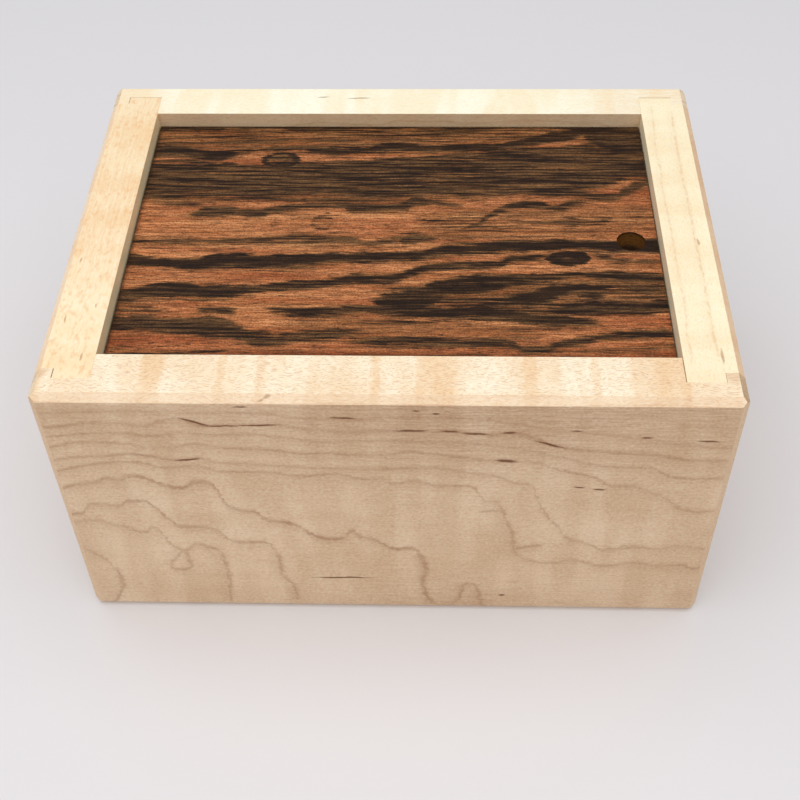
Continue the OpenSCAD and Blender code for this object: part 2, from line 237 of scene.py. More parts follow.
# dark mineral streaks of the same face: left end, right end, half-thickness in pixels
mineralStreaks = [
    ((175, 417), (213, 427), 1.1), ((198, 426), (246, 426), 0.8), ((232, 426), (282, 425), 0.9),
    ((231, 407), (248, 407), 0.8), ((325, 417), (359, 419), 1.0), ((392, 431), (432, 431), 1.1),
    ((173, 461), (203, 458), 1.1), ((308, 577.5), (376, 577.5), 1.0), ((438, 431), (462, 432), 1.0),
    ((460, 433), (492, 435), 1.2), ((501, 433), (519, 433), 1.0), ((531, 440), (568, 449), 1.0),
    ((493, 460), (519, 462), 1.7), ((570, 431), (583, 431), 0.7), ((640, 438), (655, 438), 0.9),
    ((695, 441), (722, 442), 1.0), ((572, 487), (586, 488), 0.8), ((592, 489), (607, 490), 1.0),
    ((431, 414), (441, 414), 1.0), ((498, 595), (506, 595), 1.1), ((410, 411), (420, 411.5), 0.7)]
# tan cross-bands that show best along the front board's edge: left and right pixel
frontCurl = [
    (26, 41), (138, 161), (216, 224), (256, 265), (371, 379), (416, 454), (523, 538), (556, 562),
    (592, 600), (631, 690)]
lipMarks = [((731, 364), (736, 385), 8.0), ((44, 364), (38, 379), 4.0)]  # short grain darkens its two lips
lowWedge = [((255, 402), (268, 397), 0.8)]  # a brown wedge across its chamfer, in two parts
highWedge = [((261, 399), (275, 393), 1.4)]
# two faint broken lines along the right board's edge
rightLines = [
    ("y", 0.8, [
        (651, 106), (653, 119), (654, 130), (655, 147), (658, 159), (661, 171), (662, 186), (665, 201),
        (667, 212), (669, 218), (671, 229), (673, 240), (676, 260), (678, 271), (680, 284), (683, 296),
        (686, 315), (687, 335), (691, 351), (692, 368)]),
    ("y", 1.0, [
        (671, 111), (675, 135), (677, 147), (679, 159), (682, 175), (684, 185), (687, 197), (689, 208),
        (692, 221), (695, 239), (697, 248), (699, 257), (701, 267), (706, 291), (709, 311), (712, 325),
        (713, 334), (717, 348), (719, 357)]),
]
# a few stronger strokes: two brown dashes on the back edge, and short ones on both side boards
backMarks = [((316, 97.5), (331, 97), 0.6), ((345, 98.4), (373, 98.2), 0.7)]
rightMarks = [((721, 347), (724, 366), 1.0), ((697, 238), (699, 246), 1.0)]
leftMarks = [((83, 352), (80, 361), 0.9), ((96, 303), (95, 309), 0.7), ((66, 314), (64, 324), 0.7),
             ((82, 257), (80, 263), 0.8)]

# how they lie on the wood: the row of pixels that the bands were read on, how strong they are beside the
# curl, how far a line's shade leans to one side, and a streak's millimetres to the pixel, as its rim fades
drawn = {"bandRow": 376, "bandSoft": 2, "bandRagged": 1.6, "band": 0.6, "curl": 0.5, "lean": 0.35,
         "lineFade": 0.02, "streakWidth": 0.29, "streakRagged": 0.5}


def drawBands(add, wood, curl, bands):
    # cross-bands with ragged sides in their own places, over a weaker curl
    spots, soft, ragged = [(1, 0)], drawn["bandSoft"], drawn["bandRagged"] * mm / caseWide
    for left, right in bands:
        for pixel, tone in ((left - soft, 0), (left + soft, 1), (right - soft, 1), (right + soft, 0)):
            spots.append((shareAtPixel((pixel, drawn["bandRow"]), 2, caseTop).x, tone))
    side = fibres(add, wood, 2.5, 1.2, detail=3.0, shift=15.1)
    side = add("Math", [side, ragged, -ragged / 2], operation="MULTIPLY_ADD")
    run = add("Math", [caseShares(add, wood)["X"], side], operation="ADD")
    band = add("FloatCurve", {"Value": run}, points=spots)
    band = add("Math", [band, drawn["band"]], operation="MULTIPLY")
    return add("Math", [curl, drawn["curl"], band], operation="MULTIPLY_ADD")


def drawLines(add, place, wood, look):
    # masks of drawn growth lines: the soft shade beside them, and their dark edges
    lines, axis, level = look["lines"]
    up, tall = (2, caseTop) if axis == 1 else (1, caseDeep)
    shares = caseShares(add, place)
    rough = look["jag"] * mm / tall
    jag = fibres(add, place, look["jagSize"], look["jagSize"], detail=3.0)
    jag = add("Math", [jag, rough, -rough / 2], operation="MULTIPLY_ADD")
    across, rise = (add("Math", [shares[way], jag], operation="ADD") for way in (0, up))
    masks = {"shade": 0.0, "edge": 0.0}
    for along, depth, path in lines:
        spots = [shareAtPixel(pixel, axis, level) for pixel in path]
        if along == "x":
            points, run, side, size = [(spot.x, spot[up]) for spot in spots], across, rise, tall / mm
        else:
            points, run, side, size = [(spot[up], spot.x) for spot in spots], rise, across, caseWide / mm
        first, last = min(points)[0], max(points)[0]
        fade = min(drawn["lineFade"], (last - first) / 5)
        strength = add("FloatCurve", {"Value": run}, points=[
            (first - 0.001, 0), (first + fade, depth), (last - fade, depth), (last + 0.001, 0)])
        middle = add("FloatCurve", {"Value": run}, points=points)
        away = add("Math", [side, middle], operation="SUBTRACT")
        away = add("Math", [away, size], operation="MULTIPLY")
        near = add("Math", [away], operation="ABSOLUTE")
        skew = add("Math", [away, drawn["lean"], near], operation="MULTIPLY_ADD")
        edgeReach = look["edgeWidth"] * (0.4 + depth)  # a darker line is wider too
        for name, distance, reach in (("shade", skew, look["shadeWidth"]), ("edge", near, edgeReach)):
            mask = add("MapRange", [distance, 0.0, reach, 1.0, 0.0], interpolation_type="SMOOTHSTEP")
            mask = add("Math", [mask, strength], operation="MULTIPLY")
            masks[name] = add("Math", [mask, masks[name]], operation="MAXIMUM")
    faint = fibres(add, wood, *look["faintSize"], shift=12.9, spread=(0.36, 0.6),
                   to=(look["faint"] * look["edge"], 1.2 * look["edge"]))
    return [add("Math", [masks[name], share], operation="MULTIPLY")
            for name, share in (("shade", look["shade"]), ("edge", faint))]


def drawMarks(add, place, marks, axis, level, strength):
    # mask of short streaks, each a thin ellipse between two pixels on a plane
    ragged = drawn["streakRagged"]
    bent = fibres(add, place, 2.5, 2.5, shift=2.2).node.outputs["Color"]
    bent = add("VectorMath", [bent, (ragged,) * 3, (-ragged / 2,) * 3], operation="MULTIPLY_ADD")
    bent = add("VectorMath", [place, bent], operation="ADD")
    mask = 0.0
    for start, end, thick in marks:
        first, last = (pixelOnPlane(pixel, axis, level) / mm for pixel in (start, end))
        run, half = last - first, thick * drawn["streakWidth"]
        turn = (0, -atan2(run.z, run.x), 0) if axis == 1 else (0, 0, atan2(run.y, run.x))
        oval = add("Mapping", {"Vector": bent, "Location": (first + last) / 2, "Rotation": turn,
                               "Scale": (run.length / 2, half, half)}, vector_type="TEXTURE")
        oval = add("VectorMath", [oval], operation="LENGTH").node.outputs["Value"]
        oval = add("MapRange", [oval, 0.4, 1.15, strength, 0.0], interpolation_type="SMOOTHSTEP")
        mask = add("Math", [oval, mask], operation="MAXIMUM")
    return mask


def growthRings(add, wood, look):
    # growth rings round a pith outside the board, each with a thin dark edge, broken here and there
    ring = add("VectorMath", [wood, look["pith"]], operation="SUBTRACT")
    ring = add("VectorMath", [ring, (look["taper"], 1, 1)], operation="MULTIPLY")
    ring = add("VectorMath", [ring], operation="LENGTH").node.outputs["Value"]
    drift = fibres(add, wood, 22, 9, detail=3.0, shift=1.9)
    ring = add("Math", [drift, look["drift"], ring], operation="MULTIPLY_ADD")
    ring = add("Math", [ring, 1 / look["ringSize"]], operation="MULTIPLY")
    ring = add("Math", [ring], operation="FRACT")
    late = add("FloatCurve", {"Value": ring}, points=[
        (0, 0), (look["ringStart"], 0), (0.9, look["ring"] / 2), (0.95, look["ring"]), (1, 0)])
    gaps = fibres(add, wood, 3.5, 0.8, shift=11.3, spread=(0.38, 0.6), to=(1 - look["broken"], 1))
    return add("Math", [late, gaps], operation="MULTIPLY")


def darkZones(add, place, fine, look):
    # zones that darken up the face, and how strong they are along it
    shares = caseShares(add, place)
    zone = add("FloatCurve", {"Value": shares["Z"]}, points=look["zones"])
    if "zoneRun" in look:
        run = add("FloatCurve", {"Value": shares[look["grain"].upper()]}, points=look["zoneRun"])
        streaky = add("MapRange", {"Value": fine, 3: 0.5, 4: 1.5})
        for share in (run, streaky):
            zone = add("Math", [zone, share], operation="MULTIPLY")
    return zone


def makeMaple(name, look):
    # curly maple, planed, sanded and oiled: cream wood with soft cross-bands, flecks and thin growth lines
    material, add, place = startMaterial(name)
    turn = 0 if look["grain"] == "x" else -pi / 2
    wood = add("Mapping", {"Vector": place, "Rotation": (0, 0, turn)})
    wave = fibres(add, wood, 3.5, 9, shift=6.6).node.outputs["Color"]  # the fibres wave as curly maple's do
    wave = add("VectorMath", [wave, (0, look["wave"], look["wave"])], operation="MULTIPLY")
    wavy = add("VectorMath", [wood, wave], operation="ADD")
    fine = fibres(add, wavy, 9, 0.35, detail=3.0, spread=(0.3, 0.7))
    cloud = fibres(add, wood, 26, 9, shift=3.7, spread=(0.35, 0.7))
    curl = fibres(add, wood, look["curlSize"], 24, detail=1.0, shift=8.1, spread=(0.36, 0.64), smooth=True)
    if "bands" in look:
        curl = drawBands(add, wood, curl, look["bands"])
    tone = 0.0
    for pattern, share in ((curl, look["curl"]), (cloud, look["cloud"]), (fine, look["fine"])):
        tone = add("Math", [pattern, share, tone], operation="MULTIPLY_ADD")
    colour = add("Mix", {0: tone, 6: srgb(look["light"]), 7: srgb(look["deep"])}, data_type="RGBA")
    layers = []  # each darker layer: its mask, and the name of its colour
    if "pith" in look:
        layers.append((growthRings(add, wood, look), "line"))
    if "zones" in look:
        layers.append((darkZones(add, place, fine, look), "line"))
    if "lines" in look:
        layers += [(mask, "line") for mask in drawLines(add, place, wood, look)]
    if "dash" in look:  # scattered dark streaks
        dash = fibres(add, wavy, 8, 0.5, detail=0.0, shift=20.4, spread=(0.76, 0.82), to=(0, look["dash"]))
        layers.append((dash, "streak"))
    for marks, axis, level in look.get("marks", ()):
        layers.append((drawMarks(add, place, marks, axis, level, look["mark"]), "streak"))
    fleck = fibres(add, wavy, *look["fleckSize"], detail=1.0, shift=5.3, spread=look["fleckCut"],
                   to=(0, look["fleck"]), smooth=True)
    layers.append((fleck, "line"))
    for mask, tint in layers:
        colour = add("Mix", {0: mask, 6: colour, 7: srgb(look[tint])}, data_type="RGBA")
    # the sanded surface, drawn coarser than its real grit so that it shows
    grit = fibres(add, wavy, *look["gritSize"], detail=3.0, shift=14.2, spread=(0.25, 0.75))
    colour = add("Mix", {0: look["grit"], 6: colour, 7: grit}, data_type="RGBA", blend_type="OVERLAY")
    gloss = add("MapRange", {"Value": fine, 3: 0.42, 4: 0.56})
    relief = add("Bump", {"Strength": 0.25, "Distance": 0.04 * mm, "Height": fine})
    return finishMaterial(material, {
        "Base Color": colour, "Roughness": gloss, "Normal": relief, "IOR": 1.5})


# faces of the boards: sizes in millimetres along and across the grain, the rest are shares of each pattern
flatSawn = {
    "light": "#EFD2AF", "deep": "#D3AE86", "line": "#A3734A", "wave": 0.8, "curlSize": 5, "curl": 0.32,
    "cloud": 0.45, "fine": 0.15, "fleck": 0.15, "fleckSize": (0.8, 0.24), "fleckCut": (0.52, 0.66),
    "grit": 0.18, "gritSize": (0.5, 0.4), "broken": 0.5}
mapleFront = makeMaple("oiledMapleFlatSawnFront", {
    **flatSawn, "grain": "x", "cloud": 0.38, "streak": "#6E3C00", "mark": 0.95,
    "marks": [(mineralStreaks, 1, -outY)], "lines": (growthLines, 1, -outY), "jag": 0.8, "jagSize": 0.9,
    "edgeWidth": 0.58, "shadeWidth": 1.9, "edge": 0.49, "shade": 0.22, "faint": 0.45, "faintSize": (8, 3),
    "zones": [(0, 0.24), (0.1, 0.16), (0.3, 0.05), (0.6, 0.08), (0.72, 0.16), (0.8, 0.24), (0.88, 0.34),
              (0.95, 0.42), (1, 0.46)],
    "zoneRun": [(0, 0.3), (0.25, 0.4), (0.45, 0.75), (0.6, 1), (0.75, 0.95), (0.9, 0.7), (1, 0.65)]})
ringed = {**flatSawn, "drift": 5, "ring": 0.45, "ringStart": 0.6, "streak": "#74440F", "dash": 0.8}
mapleFlat = makeMaple("oiledMapleFlatSawnBack", {
    **ringed, "grain": "x", "pith": (60, -20, 12), "taper": 0.12, "ringSize": 2.6})
mapleSideFlat = makeMaple("oiledMapleFlatSawnSide", {
    **ringed, "grain": "y", "pith": (-40, 14, 30), "taper": 0.14, "ringSize": 2.4})

# edges and chamfers of the front and back boards
curlyEdge = {
    "grain": "x", "light": "#FEF2D6", "deep": "#EFC99A", "line": "#C68E5C", "wave": 2.2, "curlSize": 5,
    "curl": 0.6, "cloud": 0.2, "fine": 0.12, "fleck": 0.42, "fleckSize": (1.3, 0.16),
    "fleckCut": (0.48, 0.66), "grit": 0.16, "gritSize": (0.8, 0.32), "broken": 0.5}
mapleEdge = makeMaple("oiledMapleCurlyEdge", {
    **curlyEdge, "bands": frontCurl, "streak": "#D0A070", "mark": 0.4, "marks": [(lipMarks, 2, caseTop)]})
mapleChamfer = makeMaple("oiledMapleCurlyChamfer", {
    **curlyEdge, "bands": frontCurl, "light": "#F8E0BE", "deep": "#E6BF93", "fleck": 0.26, "curl": 0.4,
    "streak": "#9A6A36", "mark": 0.6,
    "marks": [(lowWedge, 2, caseTop - 0.8 * mm), (highWedge, 2, caseTop - 0.45 * mm)],
    "pith": (0, -160, -60), "taper": 0.1, "drift": 3, "ringSize": 2.0, "ring": 0.35, "ringStart": 0.6})
mapleBackEdge = makeMaple("oiledMapleCurlyBackEdge", {
    **curlyEdge, "light": "#FEFDE6", "deep": "#FAE8C0", "line": "#EEBB80", "curl": 0.5, "fleck": 0.2,
    "streak": "#8A6238", "mark": 0.8, "marks": [(backMarks, 2, caseTop)], "zones": [(0, 0.42), (1, 0.42)],
    "zoneRun": [(0, 0.5), (0.07, 0.4), (0.13, 0), (0.72, 0), (0.82, 0.3), (0.9, 0.7), (1, 0.9)]})

# edges and chamfers of the side boards
sideEdge = {
    "grain": "y", "light": "#FDF1CD", "deep": "#F3D2A0", "line": "#CF9C66", "streak": "#AE7840",
    "wave": 0.8, "curlSize": 6, "curl": 0.5, "cloud": 0.4, "fine": 0.1, "fleck": 0.45,
    "fleckSize": (1.1, 0.5), "fleckCut": (0.52, 0.78), "grit": 0.16, "gritSize": (0.8, 0.32), "mark": 0.6}
mapleLeftEdge = makeMaple("oiledMapleLeftEdge", {
    **sideEdge, "line": "#ECAE70", "streak": "#BC7A30", "marks": [(leftMarks, 2, caseTop)], "curl": 0.35,
    "cloud": 0.3, "fleckSize": (1.5, 0.8), "fleckCut": (0.46, 0.8), "zones": [(0, 0.32), (1, 0.32)],
    "zoneRun": [(0, 0), (0.16, 0), (0.34, 0.6), (0.55, 1), (0.8, 0.75), (1, 0.9)]})
mapleRightEdge = makeMaple("oiledMapleRightEdge", {
    **sideEdge, "deep": "#F9E3BA", "line": "#D08A44", "fleck": 0.2, "fleckSize": (0.5, 0.25),
    "marks": [(rightMarks, 2, caseTop)], "lines": (rightLines, 2, caseTop), "jag": 0.3, "jagSize": 0.8,
    "edgeWidth": 0.3, "shadeWidth": 1.2, "edge": 0.24, "shade": 0.07, "faint": 0.0,
    "faintSize": (1.3, 0.7)})
# the two chamfers are copies of one wood, painted lighter on the left and darker on the right, away from the
# light: painted light and shade
mapleLeftChamfer = makeMaple("oiledMapleLeftChamfer", {
    **sideEdge, "light": "#FEE7C6", "deep": "#FAD1A4", "fleck": 0.25})
mapleRightChamfer = makeMaple("oiledMapleRightChamfer", {
    **sideEdge, "light": "#F0CEA4", "deep": "#E2B486", "fleck": 0.2})

# end grain in copies painted paler or darker by the way that it faces: painted light on the pale copy,
# painted shade on the dark copy and on the front's vertical corners
endGrain = {
    "grain": "x", "line": "#94683F", "wave": 0.3, "curlSize": 9, "curl": 0.1, "cloud": 0.4, "fine": 0.5,
    "fleck": 0.3, "fleckSize": (1.0, 0.25), "fleckCut": (0.54, 0.7), "grit": 0.2, "gritSize": (0.5, 0.4),
    "pith": (60, -20, 12), "taper": 0.12, "drift": 2, "ringSize": 2.6, "ring": 0.4, "ringStart": 0.5,
    "broken": 0.3}
maplePaleEnd = makeMaple("oiledMapleEndGrainPale", {**endGrain, "light": "#FAE6C4", "deep": "#EDCDA2"})
mapleCorner = makeMaple("oiledMapleCorner", {
    **endGrain, "light": "#E8C69E", "deep": "#DEB68A", "fine": 0.3, "fleck": 0.12, "ring": 0.1})
mapleDarkEnd = makeMaple("oiledMapleEndGrainDark", {**endGrain, "light": "#D6B78F", "deep": "#C09C74"})

# the inside and the lock, and the wall of the lid's hole
plain = {
    "light": "#E8CBA5", "deep": "#DBB88F", "line": "#B58A5C", "wave": 0.8, "curlSize": 7, "curl": 0.3,
    "cloud": 0.4, "fine": 0.3, "fleck": 0.2, "fleckSize": (1.6, 0.3), "fleckCut": (0.54, 0.7), "grit": 0.12,
    "gritSize": (0.8, 0.32), "broken": 0.4, "ring": 0.35, "ringStart": 0.6, "drift": 4}
# painted shade: the long boards' inside is kept darker than the side boards', for the back inner wall's
# shade; the same colour serves the bottom and the lock
mapleInside = makeMaple("plainMapleInside", {
    **plain, "grain": "x", "pith": (60, -20, 12), "taper": 0.12, "ringSize": 3.4})
# painted light: the side boards' insides are painted lighter, to make up for the shade in the shallow recess
sideInside = {
    **plain, "grain": "y", "pith": (-40, 14, 30), "taper": 0.14, "ringSize": 3.6, "ring": 0.1, "fine": 0.15,
    "fleck": 0.1}
mapleInsideLeft = makeMaple("plainMapleInsideLeft", {**sideInside, "light": "#FFEBBE", "deep": "#FBDFAC"})
mapleInsideRight = makeMaple("plainMapleInsideRight", {**sideInside, "light": "#FFF1CC", "deep": "#FEE6BC"})
# its zones paint shade on the hole's wall: dark at the top as the shadow under the rim, dark lower down as
# the shade deep in the hole, with a lit band between
drilledWall = makeMaple("drilledStripedHardwood", {
    "grain": "x", "light": "#8A5A20", "deep": "#5C3810", "line": "#220E05", "wave": 0.4, "curlSize": 9,
    "curl": 0.1, "cloud": 0.5, "fine": 0.5, "fleck": 0.6, "fleckSize": (0.8, 0.25), "fleckCut": (0.5, 0.7),
    "grit": 0.2, "gritSize": (0.5, 0.3),
    "zones": [(0, 0.9), (0.884, 0.9), (0.898, 0.55), (0.908, 0.1), (0.925, 0.0), (0.937, 0.1), (0.945, 0.5),
              (0.953, 0.9), (1, 0.9)]})
print("maple mixed")


overcut = 1 * mm  # how far a cutting block or a drill stands out of the piece
weld = 0.002 * mm
square, slanted, upright = 0.9, 0.3, 0.5  # parts of a face's normal along an axis


def pickOnly(piece):
    bpy.ops.object.select_all(action="DESELECT")
    piece.select_set(True)
    bpy.context.view_layer.objects.active = piece


def openPiece(piece):
    pickOnly(piece)
    bpy.ops.object.mode_set(mode="EDIT")
    bpy.ops.mesh.select_mode(type="FACE")


def closePiece():
    bpy.ops.mesh.select_mode(type="FACE")
    bpy.ops.mesh.select_all(action="SELECT")
    bpy.ops.mesh.remove_doubles(threshold=weld)
    bpy.ops.mesh.normals_make_consistent(inside=False)
    bpy.ops.object.mode_set(mode="OBJECT")


def pickFaces(test):
    mesh = bmesh.from_edit_mesh(bpy.context.edit_object.data)
    for face in mesh.faces:
        face.select_set(test(face.calc_center_median(), face.normal))
    bmesh.update_edit_mesh(bpy.context.edit_object.data)


def pickEdges(test):
    bpy.ops.mesh.select_mode(type="EDGE")
    bpy.ops.mesh.select_all(action="DESELECT")
    mesh = bmesh.from_edit_mesh(bpy.context.edit_object.data)
    for edge in mesh.edges:
        edge.select_set(test(edge))
    bmesh.update_edit_mesh(bpy.context.edit_object.data)


def slicePiece(point, normal, clear=False):
    bpy.ops.mesh.select_all(action="SELECT")
    bpy.ops.mesh.bisect(plane_co=point, plane_no=normal, clear_outer=clear, use_fill=clear)


def pullOut(*step):
    bpy.ops.mesh.extrude_region_move(TRANSFORM_OT_translate={"value": step})


def placePiece(name):
    # the new object's place, turn and size go into its mesh
    bpy.ops.object.transform_apply(location=True, rotation=True, scale=True)
    bpy.context.object.name = name
    return bpy.context.object


def addBlock(name, corner, opposite):
    bpy.ops.object.select_all(action="DESELECT")
    size = [abs(far - near) for near, far in zip(corner, opposite)]
    bpy.ops.mesh.primitive_cube_add(size=1, location=(Vector(corner) + Vector(opposite)) / 2, scale=size)
    return placePiece(name)


def addRound(name, x, y, low, high, radius, sides=64):
    bpy.ops.object.select_all(action="DESELECT")
    bpy.ops.mesh.primitive_cylinder_add(vertices=sides, radius=radius, depth=high - low,
                                        location=(x, y, (low + high) / 2))
    return placePiece(name)


def makeTurned(name, x, y, profile, sides=48):
    # a turned piece: a disc drawn up step by step through (radius, height)
    bpy.ops.object.select_all(action="DESELECT")
    radius, height = profile[0]
    bpy.ops.mesh.primitive_circle_add(vertices=sides, radius=radius, fill_type="NGON",
                                      location=(x, y, height))
    piece = placePiece(name)
    openPiece(piece)
    bpy.ops.mesh.select_all(action="SELECT")
    for nextRadius, nextHeight in profile[1:]:
        pullOut(0, 0, nextHeight - height)
        share = nextRadius / radius
        bpy.ops.transform.resize(value=(share, share, 1), center_override=(x, y, nextHeight))
        radius, height = nextRadius, nextHeight
    closePiece()
    return piece


def copyPiece(piece, name, step=None):
    # a copy with its own mesh, moved by a step, or else turned half round the pivot
    pickOnly(piece)
    bpy.ops.object.duplicate(linked=False)
    if step:
        bpy.ops.transform.translate(value=step)
    else:
        bpy.ops.transform.rotate(value=pi, orient_axis="Z", center_override=(0, lockY, 0))
    return placePiece(name)


def joinPieces(piece, *others):
    pickOnly(piece)
    for other in others:
        other.select_set(True)
    bpy.ops.object.join()


def cutAway(piece, *tools):
    for tool in tools:
        pickOnly(piece)
        cut = piece.modifiers.new("cut", "BOOLEAN")
        cut.operation = "DIFFERENCE"
        cut.object = tool
        bpy.ops.object.modifier_apply(modifier=cut.name)
        bpy.data.objects.remove(tool)


# angles in degrees: faces this flat become one, sharper edges than this are rounded, the rest shade smooth
sanding = {"flat": 0.5, "sharp": 20, "smooth": 32, "steps": 2}


def softenEdges(piece, width, keepSharp=None):
    # a fine round on every edge that a hand would have sanded, then even shading
    openPiece(piece)
    bpy.ops.mesh.select_all(action="SELECT")
    bpy.ops.mesh.remove_doubles(threshold=weld)
    bpy.ops.mesh.dissolve_limited(angle_limit=radians(sanding["flat"]))
    bpy.ops.mesh.normals_make_consistent(inside=False)
    pickEdges(lambda edge: edge.calc_face_angle(0) > radians(sanding["sharp"]) and not (
        keepSharp and any(keepSharp(face.calc_center_median(), face.normal) for face in edge.link_faces)))
    bpy.ops.mesh.bevel(offset=width, segments=sanding["steps"], affect="EDGES")
    closePiece()
    bpy.ops.object.shade_smooth_by_angle(angle=radians(sanding["smooth"]))
    even = piece.modifiers.new("even", "WEIGHTED_NORMAL")
    even.keep_sharp = True
    bpy.ops.object.modifier_apply(modifier=even.name)


def finishPiece(piece, body, node, slot, materials, choose=None):
    # a material for every face, then the piece's place in the assembly
    for material in materials:
        piece.data.materials.append(material)
    for polygon in piece.data.polygons:
        polygon.material_index = materials.index(choose(polygon.center, polygon.normal)) if choose else 0
    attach(piece, body)
    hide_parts(node)
    print("made", piece.name)


# front and back boards: full width, housed near each end, with a lip that covers the side board; the joints
# of a hand-made box are not all tight, and the gaps are left and right
boards = {"lip": 3.3 * mm, "lipLength": 2.1 * mm, "chamfer": 1.25 * mm, "round": 0.12 * mm,
          "grooveLow": 3.9 * mm, "grooveHigh": 7.6 * mm, "grooveDepth": 4.5 * mm, "jointReach": 0.5 * mm,
          "touch": 0.01 * mm, "frontGaps": (0, 0.14 * mm), "backGaps": (0, 0)}
lipX = outX - boards["lip"]
lipY = housingY - boards["lipLength"]


def cutChamfers(sideX, sideY):
    # planes of the case's outside chamfers that this board meets
    step = boards["chamfer"]
    for z, up in ((0, -1), (caseTop, 1)):
        for x in sideX:
            slicePiece((x * (outX - step), 0, z), (x, 0, up), clear=True)
        for y in sideY:
            slicePiece((0, y * (outY - step), z), (0, y, up), clear=True)
    for x in sideX:
        for y in sideY:
            slicePiece((x * (outX - step), y * outY, 0), (x, y, 0), clear=True)


def makeLongBoard(name, side, gaps):
    board = addBlock(name, (-outX, side * outY, 0), (outX, side * housingY, caseTop))
    openPiece(board)
    leftX, rightX = -inX + gaps[0], inX - gaps[1]
    for x in (-lipX, leftX, rightX, lipX):
        slicePiece((x, 0, 0), (1, 0, 0))
    pickFaces(lambda c, n: n.y * side < -square and leftX < c.x < rightX)
    pullOut(0, side * (inY - housingY), 0)
    pickFaces(lambda c, n: n.y * side < -square and abs(c.x) > lipX)
    pullOut(0, -side * boards["lipLength"], 0)
    cutChamfers((-1, 1), (side,))
    closePiece()
    cutAway(board, addBlock("groove", (-inX, side * (inY - overcut), boards["grooveLow"]),
                            (inX, side * (inY + boards["grooveDepth"]), boards["grooveHigh"])))
    softenEdges(board, boards["round"], lambda c, n: abs(c.x) > inX - boards["jointReach"]
                and abs(c.y) < housingY + boards["touch"] and abs(n.z) < upright)
    return board


def longBoardFaces(face, edge, side):
    def choose(c, n):
        out = n.y * side
        if abs(n.z) > square:
            return edge
        if out > square:
            return face
        if abs(n.x) <= slanted:
            return mapleChamfer if out > slanted else mapleInside
        if n.z < slanted:
            return mapleCorner if out > slanted else maplePaleEnd
        # painted shade: the dark copy goes on the front's right end, which faces away from the light
        return mapleDarkEnd if side < 0 < n.x else maplePaleEnd  # the front's right end is darker
    return [face, edge, mapleChamfer, maplePaleEnd, mapleDarkEnd, mapleInside, mapleCorner], choose


frontBoard = makeLongBoard("frontBoard", -1, boards["frontGaps"])
finishPiece(frontBoard, "case", "front_wall", "maple", *longBoardFaces(mapleFront, mapleEdge, -1))
backBoard = makeLongBoard("backBoard", 1, boards["backGaps"])
finishPiece(backBoard, "case", "back_wall", "maple", *longBoardFaces(mapleFlat, mapleBackEdge, 1))


# side boards: ends let into the housings and rebated for the lips, one mortise each for a bolt; the gaps
# are front and back
sideBoards = {"mortiseDepth": 4.8 * mm, "mortiseHalf": 6.3 * mm, "mortiseLow": 44.55 * mm,
              "mortiseHigh": 50.15 * mm, "leftEnds": (0, 0.08 * mm), "leftLips": (0.14 * mm, 0.1 * mm),
              "rightEnds": (0, 0.16 * mm), "rightLips": (0.06 * mm, 0)}


def makeSideBoard(name, side, endGaps, lipGaps):
    frontY, backY = -housingY + endGaps[0], housingY - endGaps[1]
    board = addBlock(name, (side * inX, frontY, 0), (side * lipX, backY, caseTop))
    openPiece(board)
    for y in (-lipY, lipY):
        slicePiece((0, y, 0), (0, 1, 0))
    pickFaces(lambda c, n: n.x * side > square and abs(c.y) < lipY)
    pullOut(side * boards["lip"], 0, 0)
    for end, gap in zip((-1, 1), lipGaps):
        pickFaces(lambda c, n: n.x * side > square and c.y * end > lipY)
        bpy.ops.transform.translate(value=(-side * gap, 0, 0))
    cutChamfers((side,), ())
    closePiece()
    startX, half = side * (inX - overcut), sideBoards["mortiseHalf"]
    groove = addBlock("groove", (startX, -outY, boards["grooveLow"]),
                      (side * (inX + boards["grooveDepth"]), outY, boards["grooveHigh"]))
    pocket = addBlock("pocket", (startX, lockY - half, sideBoards["mortiseLow"]),
                      (side * (inX + sideBoards["mortiseDepth"]), lockY + half, sideBoards["mortiseHigh"]))
    cutAway(board, groove, pocket)
    softenEdges(board, boards["round"],
                lambda c, n: abs(c.y) > lipY - boards["touch"] and abs(n.z) < upright)
    return board


def sideBoardFaces(edge, inside, chamfer, side):
    def choose(c, n):
        if abs(n.z) > square:
            return edge
        if n.x * side > square:
            return mapleSideFlat
        return chamfer if n.x * side > slanted else inside
    return [mapleSideFlat, edge, inside, chamfer], choose


leftBoard = makeSideBoard("leftBoard", -1, sideBoards["leftEnds"], sideBoards["leftLips"])
finishPiece(leftBoard, "case", "left_wall", "maple",
            *sideBoardFaces(mapleLeftEdge, mapleInsideLeft, mapleLeftChamfer, -1))
rightBoard = makeSideBoard("rightBoard", 1, sideBoards["rightEnds"], sideBoards["rightLips"])
finishPiece(rightBoard, "case", "right_wall", "maple",
            *sideBoardFaces(mapleRightEdge, mapleInsideRight, mapleRightChamfer, 1))

# bottom panel: a field between the boards with a thinner tongue all round
bottom = {"tongueLow": 4.0 * mm, "tongueHigh": 7.5 * mm, "fieldGap": 0.3 * mm, "round": 0.2 * mm}
bottomLow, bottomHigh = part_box("bottom_panel")
bottomPanel = addBlock("bottomPanel", (bottomLow.x, bottomLow.y, bottom["tongueLow"]),
                       (bottomHigh.x, bottomHigh.y, bottom["tongueHigh"]))
openPiece(bottomPanel)
for up, step in ((1, bottomHigh.z - bottom["tongueHigh"]), (-1, bottomLow.z - bottom["tongueLow"])):
    pickFaces(lambda c, n: n.z * up > square)
    bpy.ops.mesh.inset(thickness=bottomHigh.x - inX + bottom["fieldGap"], depth=0)
    pullOut(0, 0, step)
closePiece()
softenEdges(bottomPanel, bottom["round"])
finishPiece(bottomPanel, "case", "bottom_panel", "maple", [mapleInside])

# ledger strips that carry the lid, chamfered below; the side ones leave a gap for a bolt
ledger = {"chamfer": 2.0 * mm, "round": 0.2 * mm, "gap": 8.0 * mm}


